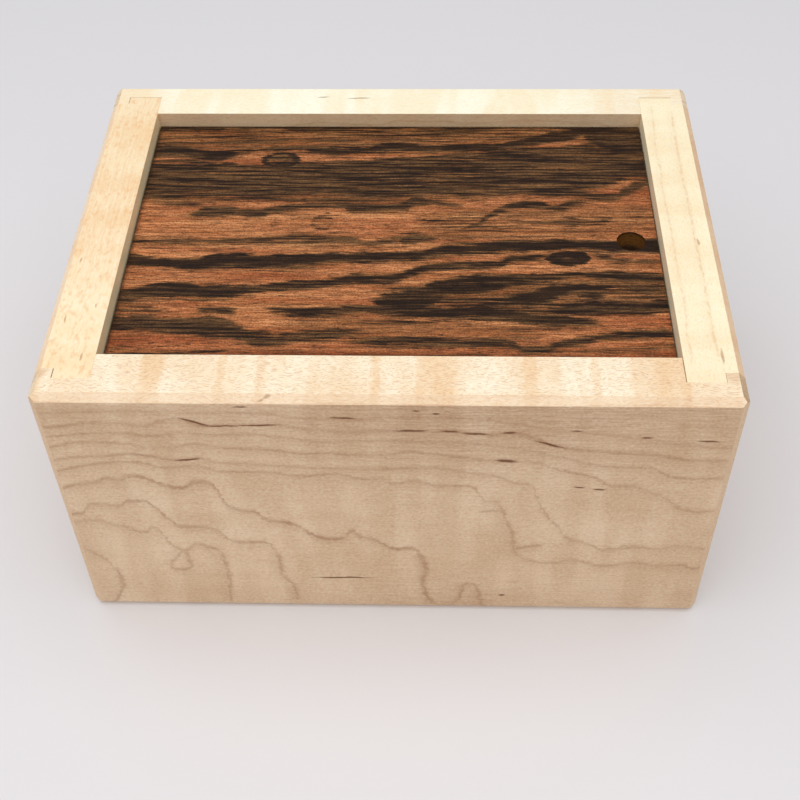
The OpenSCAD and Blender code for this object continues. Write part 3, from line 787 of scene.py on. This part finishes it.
def makeLedger(name, low, high, sideX, sideY):
    # sideX, sideY point to the wall that the strip stands against
    strip = addBlock(name, low, high)
    openPiece(strip)
    middle = (Vector(low) + Vector(high)) / 2
    reach = (Vector(high) - Vector(low)) / 2
    foot = (middle.x - sideX * (reach.x - ledger["chamfer"]),
            middle.y - sideY * (reach.y - ledger["chamfer"]), low[2])
    slicePiece(foot, (-sideX, -sideY, -1), clear=True)
    closePiece()
    softenEdges(strip, ledger["round"])
    return strip


for name, node, side in (("frontLedger", "front_ledger", -1), ("backLedger", "back_ledger", 1)):
    strip = makeLedger(name, *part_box(node), 0, side)
    finishPiece(strip, "case", node, "maple", [mapleInside])
for name, node, side in (("leftLedgers", "left_ledgers", -1), ("rightLedgers", "right_ledgers", 1)):
    low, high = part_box(node)
    strip = makeLedger(name, low, (high.x, lockY - ledger["gap"], high.z), side, 0)
    joinPieces(strip, makeLedger(name + "Back", (low.x, lockY + ledger["gap"], low.z), high, side, 0))
    finishPiece(strip, "case", node, "maple", [mapleInside])
print("case done")


# stripes of the lid, and one painted shadow line along its back edge, followed in the photograph's pixels:
# how dark each is, then x, y and half-width
lidStripesAndShadowLine = [
    (1.0, [
        (126, 260, 4), (159, 262, 4), (189, 263, 5), (228, 260, 6), (258, 262, 6), (307, 260, 6),
        (327, 258, 4.7), (357, 257, 3.6), (400, 255, 3.6), (420, 255, 4), (439, 250, 4), (469, 248, 4.5),
        (548, 246, 4.5), (588, 245, 4.5), (617, 246, 5), (662, 246, 6)]),
    (0.9, [
        (114, 297, 5), (139, 292, 5.5), (179, 290, 7), (199, 292, 6), (228, 291, 5), (258, 289, 3),
        (268, 288, 2.4), (294, 285, 3.5), (317, 284, 3), (337, 281, 3.5), (357, 278, 4), (390, 279, 4),
        (410, 273, 3.5), (430, 267, 3.5), (449, 265, 3), (501, 263, 3), (509, 259, 3), (538, 257, 3)]),
    (0.9, [(278, 311, 2), (298, 313, 4), (337, 311, 4), (357, 309, 3.5), (400, 309, 4)]),
    (0.86, [
        (378, 300, 4), (390, 303, 10), (410, 301, 12), (430, 295, 12), (449, 287, 8), (469, 285, 9),
        (499, 283, 7), (528, 279, 5), (558, 277, 4), (578, 275, 3), (607, 277, 5), (650, 277, 5),
        (668, 277, 4)]),
    (0.9, [
        (390, 313, 5), (430, 313, 5), (489, 313, 6), (518, 317, 6), (548, 321, 6), (568, 321, 5),
        (588, 321, 3)]),
    (0.85, [(558, 309, 4), (588, 307, 5), (627, 307, 5), (672, 305, 5)]),
    (1.0, [(498, 300, 2), (516, 300, 5), (540, 297, 8), (560, 292, 6), (580, 289, 4), (606, 287, 2)]),
    (0.9, [(578, 297, 2), (590, 297, 3.5), (604, 297, 2)]),
    (0.75, [(623, 289, 2), (640, 289, 3), (664, 289, 3)]),
    (0.78, [
        (110, 323, 6), (139, 323, 8), (159, 325, 7), (189, 327, 8), (219, 328, 8), (238, 331, 6),
        (258, 340, 5), (278, 341, 2.5)]),
    (0.7, [
        (236, 333, 5), (258, 337, 6), (282, 337, 4), (305, 335, 5), (325, 334, 5.5), (345, 332, 4),
        (362, 332, 2)]),
    (0.5, [(112, 306, 6), (130, 306, 5), (156, 309, 3)]),
    (0.85, [
        (363, 340, 3), (400, 340, 4), (449, 342, 3.5), (509, 345, 3.5), (528, 350, 4), (548, 348, 4),
        (568, 343, 3.5), (588, 339, 3), (607, 335, 2.5), (647, 334, 2.5), (675, 334, 2)]),
    (0.9, [
        (153, 150, 5), (179, 150, 5), (201, 153, 4), (219, 154, 4), (240, 151, 2.2), (260, 149, 1.4),
        (288, 149, 1.2), (317, 150, 2.4), (327, 151, 3), (367, 149, 2), (383, 147, 4.4), (400, 146, 5),
        (430, 149, 3), (469, 148, 4), (509, 146, 3.4), (528, 142, 4), (548, 138, 5), (568, 135, 5),
        (588, 131, 5)]),
    (0.85, [
        (153, 161, 1), (180, 160, 1.2), (207, 162, 1.4), (216, 165, 2.2), (230, 164, 2.6),
        (241, 166, 1.2)]),
    (0.72, [
        (145, 181, 17), (169, 182, 17), (193, 182, 15), (213, 181, 16), (258, 180, 15), (327, 179, 15),
        (400, 178, 18), (469, 176, 20), (509, 173, 21), (548, 170, 21), (588, 165, 22), (607, 159, 24),
        (627, 151, 28), (645, 146, 31)]),
    (0.8, [
        (150, 165, 2.5), (200, 167, 2), (258, 167, 1.8), (327, 164, 2), (400, 160, 2), (509, 153, 2),
        (560, 150, 2)]),
    (0.5, [(150, 197, 5), (184, 201, 5), (220, 198, 3), (300, 197, 4), (350, 200, 5), (400, 198, 4)]),
    (0.8, [
        (193, 213, 2), (209, 211, 5), (228, 211, 5), (244, 212, 3), (258, 213, 4), (272, 210, 3),
        (298, 207, 2.4), (337, 205, 2), (355, 208, 4), (377, 208, 3), (400, 207, 3.5), (418, 201, 5),
        (430, 202, 2), (449, 204, 2.4)]),
    (0.55, [
        (135, 241, 3), (173, 241, 3.6), (209, 241, 2.6), (244, 240, 3), (278, 239, 3.4), (298, 237, 5),
        (317, 239, 5), (347, 239, 4), (367, 243, 2), (400, 238, 3), (420, 237, 4), (436, 238, 1)]),
    (0.7, [
        (467, 228, 1.4), (477, 224, 2.6), (489, 216, 2.6), (501, 210, 3.4), (516, 205, 4), (530, 204, 4),
        (544, 207, 3.4), (558, 209, 3), (570, 205, 4), (582, 203, 3)]),
    (0.75, [(530, 193, 2.5), (570, 193, 4), (596, 196, 4), (612, 197, 3), (626, 190, 4), (642, 184, 4)]),
    (0.65, [(558, 221, 3), (571, 221, 5.5), (584, 221, 2), (600, 220, 3), (612, 219, 1)]),
    (1.0, [(201, 310, 2), (214, 310, 2.8), (232, 310, 2)]),
    (0.75, [(160, 352, 1.2), (190, 352, 1.8), (222, 351.5, 1.2)]),
    (0.6, [(155, 139, 1), (200, 138, 1.4), (250, 139, 1), (286, 137, 1.2), (330, 139, 1)]),
    (0.6, [(300, 131, 1), (340, 132, 1.4), (372, 135, 1.2), (400, 137, 1.4), (440, 139, 1)]),
    (0.85, [(578, 131, 3), (592, 136, 8), (612, 140, 12), (632, 140, 13), (648, 140, 13)]),
    (0.75, [(399, 239, 1.6), (411, 238.5, 3.6), (424, 237, 1.4)]),
    (0.6, [(590, 253, 1.5), (604, 257, 3.5), (616, 260, 2), (658, 262, 1.4)]),
    (0.45, [
        (150, 137, 14), (200, 138, 12), (282, 138, 12), (400, 136, 12), (520, 132, 10), (640, 128, 10)]),
    (0.47, [(400, 300, 14), (520, 298, 20), (600, 294, 20), (668, 292, 18)]),
    (0.3, [(425, 226, 12), (480, 224, 15), (560, 222, 16), (650, 220, 14)]),
    (0.34, [(290, 326, 9), (360, 326, 9), (440, 330, 8), (530, 332, 7)]),
    # not a stripe: painted shadow, a thin dark line along the lid's back edge where the gap by the back wall
    # lies in shade
    (0.9, [(150, 127, 2), (282, 127, 1.8), (400, 126.6, 1.8), (520, 126.2, 2), (645, 126, 3)]),
    (0.4, [(105, 352, 4), (200, 354, 3), (330, 354, 1), (560, 354, 2), (640, 350, 4), (680, 348, 5)]),
]
# small knots: middle, half-length and half-height in pixels, how dark the rim is and how dark the inside
lidEyes = [((281, 160), 20, 7.5, 0.95, 0.7), ((322, 223), 12, 7, 0.38, 0.2), ((569, 259), 21, 7, 1.0, 1.1)]


def drawStripesAndShadowLine(add, across, back, look):
    # how dark the drawn stripes, and the painted shadow line among them, make the wood, each one softer in
    # front than behind
    soft = look["edge"] * mm / caseDeep
    scale = 10  # half-widths are small beside the curve's range
    darkness = 0.0
    for depth, path in lidStripesAndShadowLine:
        middles, halves = [], []
        for x, y, half in path:
            spot, rim = (shareAtPixel((x, row), 2, lidTop) for row in (y, y - half))
            middles.append((spot.x, spot.y))
            halves.append((spot.x, (rim.y - spot.y) * scale))
        first, last = min(middles)[0], max(middles)[0]
        fade = min(look["stripeFade"], (last - first) / 5)
        strength = add("FloatCurve", {"Value": across}, points=[
            (max(first - fade, 0), 0), (first + fade, depth), (last - fade, depth),
            (min(last + fade, 1), 0)])
        middle = add("FloatCurve", {"Value": across}, points=middles)
        half = add("FloatCurve", {"Value": across}, points=halves)
        away = add("Math", [back, middle], operation="SUBTRACT")
        behind = add("Math", [half, -1 / scale, away], operation="MULTIPLY_ADD")
        ahead = add("Math", [half, 1 / scale, away], operation="MULTIPLY_ADD")
        ahead = add("Math", [ahead, -look["softFront"]], operation="MULTIPLY")
        out = add("Math", [behind, ahead], operation="MAXIMUM")
        inside = add("MapRange", [out, -soft / 2, soft * 3 / 4, 1.0, 0.0], interpolation_type="SMOOTHSTEP")
        inside = add("Math", [inside, strength], operation="MULTIPLY")
        darkness = add("Math", [inside, darkness], operation="MAXIMUM")
    return darkness


def drawEyes(add, wood, feather, darkness):
    # knots drawn over the stripes, with feathered rims
    for middle, long, tall, depth, core in lidEyes:
        spot = pixelOnPlane(middle, 2, lidTop) / mm
        size = pixelOnPlane((middle[0] + long, middle[1] - tall), 2, lidTop) / mm - spot
        ring = add("VectorMath", [wood, spot], operation="SUBTRACT")
        ring = add("VectorMath", [ring, (1 / size.x, 1 / size.y, 0)], operation="MULTIPLY")
        ring = add("VectorMath", [ring], operation="LENGTH").node.outputs["Value"]
        ring = add("Math", [feather, 0.7, ring], operation="MULTIPLY_ADD")
        ring = add("Math", [ring, 0.5], operation="MULTIPLY")
        eye = add("FloatCurve", {"Value": ring}, points=[
            (0, core), (0.28, core * 0.8), (0.36, core * 1.1), (0.44, core * 0.85), (0.5, core),
            (0.57, depth), (0.62, depth), (0.72, 0)])
        darkness = add("Math", [eye, darkness], operation="MAXIMUM")
    return darkness


def makeStripedHardwood(name, look):
    # striped rosewood-like board, sanded and oiled: warm brown, near-black bands, open pores, little gloss
    material, add, place = startMaterial(name)
    waver = fibres(add, place, 14, 5, shift=6.1)
    swing = add("Math", [waver, look["swing"], -look["swing"] / 2], operation="MULTIPLY_ADD")
    swing = add("CombineXYZ", {"Y": swing})
    wood = add("VectorMath", [place, swing], operation="ADD")
    feather = fibres(add, wood, *look["featherSize"], detail=5.0, shift=2.3)
    shares = caseShares(add, place)
    back = shares["Y"]
    for noise, width in ((feather, look["feather"]), (waver, look["waver"])):
        reach = width * mm / caseDeep
        push = add("Math", [noise, reach, -reach / 2], operation="MULTIPLY_ADD")
        back = add("Math", [back, push], operation="ADD")
    darkness = drawStripesAndShadowLine(add, shares["X"], back, look)
    darkness = drawEyes(add, wood, feather, darkness)
    near = add("MapRange", [darkness, 0.0, 0.8, 0.0, 0.75])
    loose = add("MapRange", [darkness, 0.72, 0.98, 0.8, 0.12])
    shred = fibres(add, wood, *look["shredSize"], detail=5.0, shift=3.1)
    darkness = add("Math", [shred, look["shred"], darkness], operation="MULTIPLY_ADD")
    start, end = (cut + look["shred"] / 2 for cut in look["cut"])
    darkness = add("MapRange", [darkness, start, end], interpolation_type="SMOOTHSTEP")
    # warm wood between the stripes: light and brown fibres, red patches, dusky streaks, olive near a stripe
    fine = fibres(add, wood, 13, 0.4, detail=4.0, shift=4.4)
    tone = add("MapRange", [fine, 0.3, 0.7])
    patch = fibres(add, wood, 30, 2.2, shift=9.2, spread=(0.4, 0.65), to=(0, 0.5))
    zone = add("FloatCurve", {"Value": shares["Y"]}, points=[
        (shareAtPixel((middlePixel, row), 2, lidTop).y, share) for row, share in look["zones"]])
    patch = add("Math", [patch, zone], operation="ADD")
    streak = fibres(add, wood, 14, 0.6, shift=7.7, spread=(0.53, 0.74), to=(0, look["streak"]))
    warm = srgb(look["light"])
    for mask, tint in ((tone, "brown"), (patch, "red"), (streak, "dusk"), (near, "olive")):
        warm = add("Mix", {0: mask, 6: warm, 7: srgb(look[tint])}, data_type="RGBA")
    # brown threads in the stripes, more of them in the looser ones
    thread = fibres(add, wood, 10, 0.45, detail=3.0, shift=5.9, spread=(0.44, 0.62))
    thread = add("Math", [thread, loose], operation="MULTIPLY")
    black = add("Mix", {0: thread, 6: srgb(look["black"]), 7: srgb(look["thread"])}, data_type="RGBA")
    colour = add("Mix", {0: darkness, 6: warm, 7: black}, data_type="RGBA")
    # painted shade along the lid's left and back edges, where the walls shade it, in the pores' colour; the
    # oil has darkened the wood in its pores
    parts = add("SeparateXYZ", [place]).node.outputs
    left = add("Math", [parts["X"], lidLow.x / mm], operation="SUBTRACT")
    behind = add("Math", [lidHigh.y / mm, parts["Y"]], operation="SUBTRACT")
    rim = add("Math", [left, behind], operation="MINIMUM")
    rim = add("MapRange", [rim, 0.0, look["rim"], 0.8, 0.0])
    pore = fibres(add, wood, 1.6, 0.22, detail=0.0, shift=1.2, spread=(0.66, 0.76), to=(0, 0.7))
    for mask in (rim, pore):
        colour = add("Mix", {0: mask, 6: colour, 7: srgb(look["pore"])}, data_type="RGBA")
    for along, wide, share in look["grit"]:  # short fibres and cut pores, drawn coarser than real ones
        grit = fibres(add, wood, along, wide, detail=3.0, shift=14.2, spread=(0.28, 0.72))
        colour = add("Mix", {0: share, 6: colour, 7: grit}, data_type="RGBA", blend_type="OVERLAY")
    gloss = add("MapRange", [fine, 0.3, 0.7, 0.45, 0.6])
    relief = add("Bump", {"Strength": 0.4, "Distance": 0.06 * mm, "Height": pore}, invert=True)
    return finishMaterial(material, {  # rubbed down: hardly a gleam
        "Base Color": colour, "Roughness": gloss, "Normal": relief, "IOR": 1.5, "Specular IOR Level": 0.14})


# the pore colour also paints shade along the lid's left and back edges, as wide as the look's rim in
# millimetres
stripedLid = makeStripedHardwood("oiledStripedHardwood", {
    "light": "#D59360", "brown": "#98572D", "red": "#8B4524", "olive": "#654620", "dusk": "#513317",
    "black": "#24150B", "thread": "#72502F", "pore": "#2A180B", "rim": 0.8, "feather": 2.2,
    "featherSize": (3.0, 0.4), "waver": 2.0, "swing": 0.9, "edge": 1.3, "softFront": 0.6,
    "stripeFade": 0.03, "shred": 1.9, "shredSize": (13, 0.42), "cut": (0.22, 0.66), "streak": 0.75,
    "grit": [(2.0, 0.24, 0.5), (0.3, 0.22, 0.5)],
    "zones": [(126, 0.4), (160, 0.25), (200, 0.3), (216, 0.0), (242, 0.0), (262, 0.18), (285, 0.26),
              (300, 0.12), (312, 0.1), (326, 0.28), (352, 0.6)]})

# lid panel: softened edges, one drilled hole, and blind holes below for the screws
lid = {"hole": (42.2 * mm, 2.5 * mm), "rim": 0.18 * mm, "bite": 4.22 * mm, "pivotHole": 1.52 * mm,
       "screwHole": 1.12 * mm, "screwY": 9.4 * mm, "holeReach": 1.05}
guideLow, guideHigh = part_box("right_guide")
screwX, screwY = (guideLow.x + guideHigh.x) / 2, lid["screwY"]
holeX, holeR = lid["hole"]
lidPanel = addBlock("lidPanel", lidLow, lidHigh)
cutAway(lidPanel, addRound("drill", holeX, lockY, lidLow.z - overcut, lidTop + overcut, holeR))
softenEdges(lidPanel, lid["rim"])
blindHoles = [(x, lockY + y, lid["screwHole"]) for x in (-screwX, screwX) for y in (-screwY, screwY)]
for x, y, radius in [(0, lockY, lid["pivotHole"])] + blindHoles:
    cutAway(lidPanel, addRound("drill", x, y, lidLow.z - overcut, lidLow.z + lid["bite"], radius, sides=32))


def lidFaces(c, n):
    inHole = (c - Vector((holeX, lockY, c.z))).length < holeR * lid["holeReach"]
    return drilledWall if inHole and abs(n.z) < upright else stripedLid


finishPiece(lidPanel, "lid", "lid_panel", "striped_hardwood", [stripedLid, drilledWall], lidFaces)


def makeBrass(name, look):
    # satin brass, turned and lightly tarnished: warm yellow metal with fine rubbed marks
    material, add, metal = startMaterial(name)
    tarnish = fibres(add, metal, *look["tarnishSize"], detail=4.0, spread=(0.35, 0.7))
    rubbed = fibres(add, metal, *look["rubbedSize"])  # marks drawn coarser than real ones so that they show
    colour = add("Mix", {0: tarnish, 6: srgb(look["bright"]), 7: srgb(look["dull"])}, data_type="RGBA")
    gloss = add("MapRange", [rubbed, 0.3, 0.7, look["smooth"], look["rough"]])
    relief = add("Bump", {"Strength": 0.15, "Distance": 0.02 * mm, "Height": rubbed})
    return finishMaterial(material, {
        "Base Color": colour, "Roughness": gloss, "Normal": relief, "Metallic": 1.0})


brass = makeBrass("satinBrass", {"bright": "#D9B878", "dull": "#B08A4A", "smooth": 0.24, "rough": 0.42,
                                 "tarnishSize": (5 / 3, 5 / 3), "rubbedSize": (3, 0.12)})

# bolts: a bar with a chamfered tip, and a tail that passes the pivot and carries the pin's slot,
# whose ends are rounded by just under half of its width
bolt = {"half": 6.0 * mm, "shoulder": (11.35 * mm, 18.35 * mm), "tail": 9.0 * mm, "tip": 1.5 * mm,
        "round": 0.2 * mm, "pin": (1.7 * mm, 11.88 * mm), "slot": (3.3 * mm, 4.3 * mm),
        "slotRound": 0.4995, "slotSteps": 10, "notch": (40.5 * mm, 0.8 * mm, 3.0 * mm)}
boltLow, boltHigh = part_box("right_bolt")
tailBack = boltLow.y + bolt["tail"]
startX, endX = bolt["shoulder"]
rightBolt = addBlock("rightBolt", (startX, boltLow.y, boltLow.z), (endX, boltHigh.y, boltHigh.z))
openPiece(rightBolt)
for y in (tailBack, lockY - bolt["half"]):
    slicePiece((0, y, 0), (0, 1, 0))
pickFaces(lambda c, n: n.x > square and c.y > lockY - bolt["half"])
pullOut(boltHigh.x - endX, 0, 0)
pickFaces(lambda c, n: n.x < -square and c.y < tailBack)
pullOut(boltLow.x - startX, 0, 0)
for side in (-1, 1):
    slicePiece((boltHigh.x - bolt["tip"], lockY + side * bolt["half"], 0), (1, side, 0), clear=True)
closePiece()
pinX, pinY = bolt["pin"]
slotWide, slotLong = bolt["slot"]
slotTool = addBlock("slotTool", (-pinX - slotWide / 2, lockY - pinY - slotLong / 2, boltLow.z - overcut),
                    (-pinX + slotWide / 2, lockY - pinY + slotLong / 2, boltHigh.z + overcut))
openPiece(slotTool)
pickEdges(lambda edge: abs((edge.verts[0].co - edge.verts[1].co).normalized().z) > square)
bpy.ops.mesh.bevel(offset=slotWide * bolt["slotRound"], segments=bolt["slotSteps"], affect="EDGES")
closePiece()
cutAway(rightBolt, slotTool)
leftBolt = copyPiece(rightBolt, "leftBolt")
notchX, notchR, notchDeep = bolt["notch"]
cutAway(rightBolt, addRound("notchTool", notchX, lockY, boltHigh.z - notchDeep, boltHigh.z + overcut,
                            notchR, sides=32))
for piece, node, body in ((rightBolt, "right_bolt", "right_bolt_body"),
                          (leftBolt, "left_bolt", "left_bolt_body")):
    softenEdges(piece, bolt["round"])
    finishPiece(piece, body, node, "maple", [mapleInside])

# guides: saddles screwed under the lid, with a channel that a bolt slides in
guide = {"channel": 6.15 * mm, "floor": 3.0 * mm, "chamfer": 0.8 * mm, "round": 0.15 * mm,
         "head": 2.12 * mm, "shank": 1.2 * mm}
rightGuide = addBlock("rightGuide", guideLow, guideHigh)
openPiece(rightGuide)
for side, y in ((-1, guideLow.y), (1, guideHigh.y)):
    slicePiece((0, y - side * guide["chamfer"], guideLow.z), (0, side, -1), clear=True)
closePiece()
cutAway(rightGuide, addBlock(
    "channelTool", (guideLow.x - overcut, lockY - guide["channel"], guideLow.z + guide["floor"]),
    (guideHigh.x + overcut, lockY + guide["channel"], guideHigh.z + overcut)))
head, shank = guide["head"], guide["shank"]
for y in (lockY - screwY, lockY + screwY):
    drill = addRound("drill", screwX, y, guideLow.z - overcut, guideHigh.z + overcut, shank, sides=32)
    sink = makeTurned("sink", screwX, y, [(head, guideLow.z), (shank, guideLow.z + head - shank)], sides=32)
    cutAway(rightGuide, drill, sink)
softenEdges(rightGuide, guide["round"])
leftGuide = copyPiece(rightGuide, "leftGuide")
for piece, node in ((rightGuide, "right_guide"), (leftGuide, "left_guide")):
    finishPiece(piece, "lid", node, "maple", [mapleInside])

# rotor disc: softened rim, bored for the bush and drilled for the two pins
rotor = {"rim": 0.5 * mm, "bore": 3.05 * mm, "pinHole": 1.52 * mm, "round": 0.08 * mm}
rotorR, lift = (rotorHigh.x - rotorLow.x) / 2, rotor["rim"]
rotorDisc = makeTurned("rotorDisc", 0, lockY, [
    (rotorR - lift, rotorLow.z), (rotorR, rotorLow.z + lift), (rotorR, rotorHigh.z - lift),
    (rotorR - lift, rotorHigh.z)], sides=96)
drills = [(0, lockY, rotor["bore"], 64)] + [
    (side * pinX, lockY + side * pinY, rotor["pinHole"], 32) for side in (-1, 1)]
for x, y, radius, sides in drills:
    cutAway(rotorDisc, addRound("drill", x, y, rotorLow.z - overcut, rotorHigh.z + overcut, radius, sides))
softenEdges(rotorDisc, rotor["round"])
finishPiece(rotorDisc, "rotor", "rotor_disc", "maple", [mapleInside])

# drive pins: two short rods with rounded tips, pressed into the rotor
pins = {"radius": 1.5 * mm, "foot": 0.2 * mm, "tip": 0.5 * mm, "tipRound": 0.15 * mm, "smooth": 40}
pinLow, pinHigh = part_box("drive_pins")
pinR = pins["radius"]
pinProfile = [(pinR - pins["foot"], pinLow.z), (pinR, pinLow.z + pins["foot"]),
              (pinR, pinHigh.z - pins["tip"]), (pinR - pins["tipRound"], pinHigh.z - pins["tipRound"]),
              (pinR - pins["tip"], pinHigh.z)]
drivePins = makeTurned("drivePins", -pinX, lockY - pinY, pinProfile, sides=32)
bpy.ops.object.shade_smooth_by_angle(angle=radians(pins["smooth"]))
joinPieces(drivePins, copyPiece(drivePins, "otherPin", (2 * pinX, 2 * pinY, 0)))
finishPiece(drivePins, "rotor", "drive_pins", "brass", [brass])

# bush and washer that the rotor turns on
tube = {"bore": 1.6 * mm, "round": 0.12 * mm}
for name, node in (("pivotBush", "pivot_bush"), ("pivotWasher", "pivot_washer")):
    low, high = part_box(node)
    piece = addRound(name, 0, lockY, low.z, high.z, high.x)
    cutAway(piece, addRound("boreTool", 0, lockY, low.z - overcut, high.z + overcut, tube["bore"]))
    softenEdges(piece, tube["round"])
    finishPiece(piece, "lid", node, "brass", [brass])

# both kinds of screw have the same blunt point, and the same slot for a driver
screw = {"point": 1.4 * mm, "blunt": 0.25, "slotHalf": 0.4 * mm, "slotDeep": 0.7 * mm, "slotReach": 5 * mm,
         "smooth": 35}


def makeScrew(name, x, y, box, head, sides):
    # head is (radius, height) in millimetres, up to where the shank begins
    low, high = (corner.z for corner in box)
    profile = [(radius * mm, low + height * mm) for radius, height in head]
    shank = profile[-1][0]
    profile += [(shank, high - screw["point"]), (shank * screw["blunt"], high)]
    piece = makeTurned(name, x, y, profile, sides)
    cutAway(piece, addBlock("driverTool", (x - screw["slotReach"], y - screw["slotHalf"], low - overcut),
                            (x + screw["slotReach"], y + screw["slotHalf"], low + screw["slotDeep"])))
    openPiece(piece)
    closePiece()
    bpy.ops.object.shade_smooth_by_angle(angle=radians(screw["smooth"]))
    return piece


# pivot screw: a slotted dome head under the washer, its shank up through the bush into the lid
pivotHead = [(0.5, 0.03), (1.2, 0.19), (1.9, 0.5), (2.5, 0.91), (3.0, 1.42), (3.35, 1.92),
             (3.5, 2.2), (1.5, 2.2)]
pivotScrew = makeScrew("pivotScrew", 0, lockY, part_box("pivot_screw"), pivotHead, sides=48)
finishPiece(pivotScrew, "lid", "pivot_screw", "brass", [brass])

# guide screws: countersunk and slotted, one modelled and three copies
guideHead = [(2.1, 0), (1.1, 1.0)]
guideScrews = makeScrew("guideScrews", screwX, lockY + screwY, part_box("guide_screws"), guideHead, sides=40)
steps = [(0, -2 * screwY, 0), (-2 * screwX, 0, 0), (-2 * screwX, -2 * screwY, 0)]
joinPieces(guideScrews, *[copyPiece(guideScrews, "screwCopy", step) for step in steps])
finishPiece(guideScrews, "lid", "guide_screws", "brass", [brass])
print("lock done")
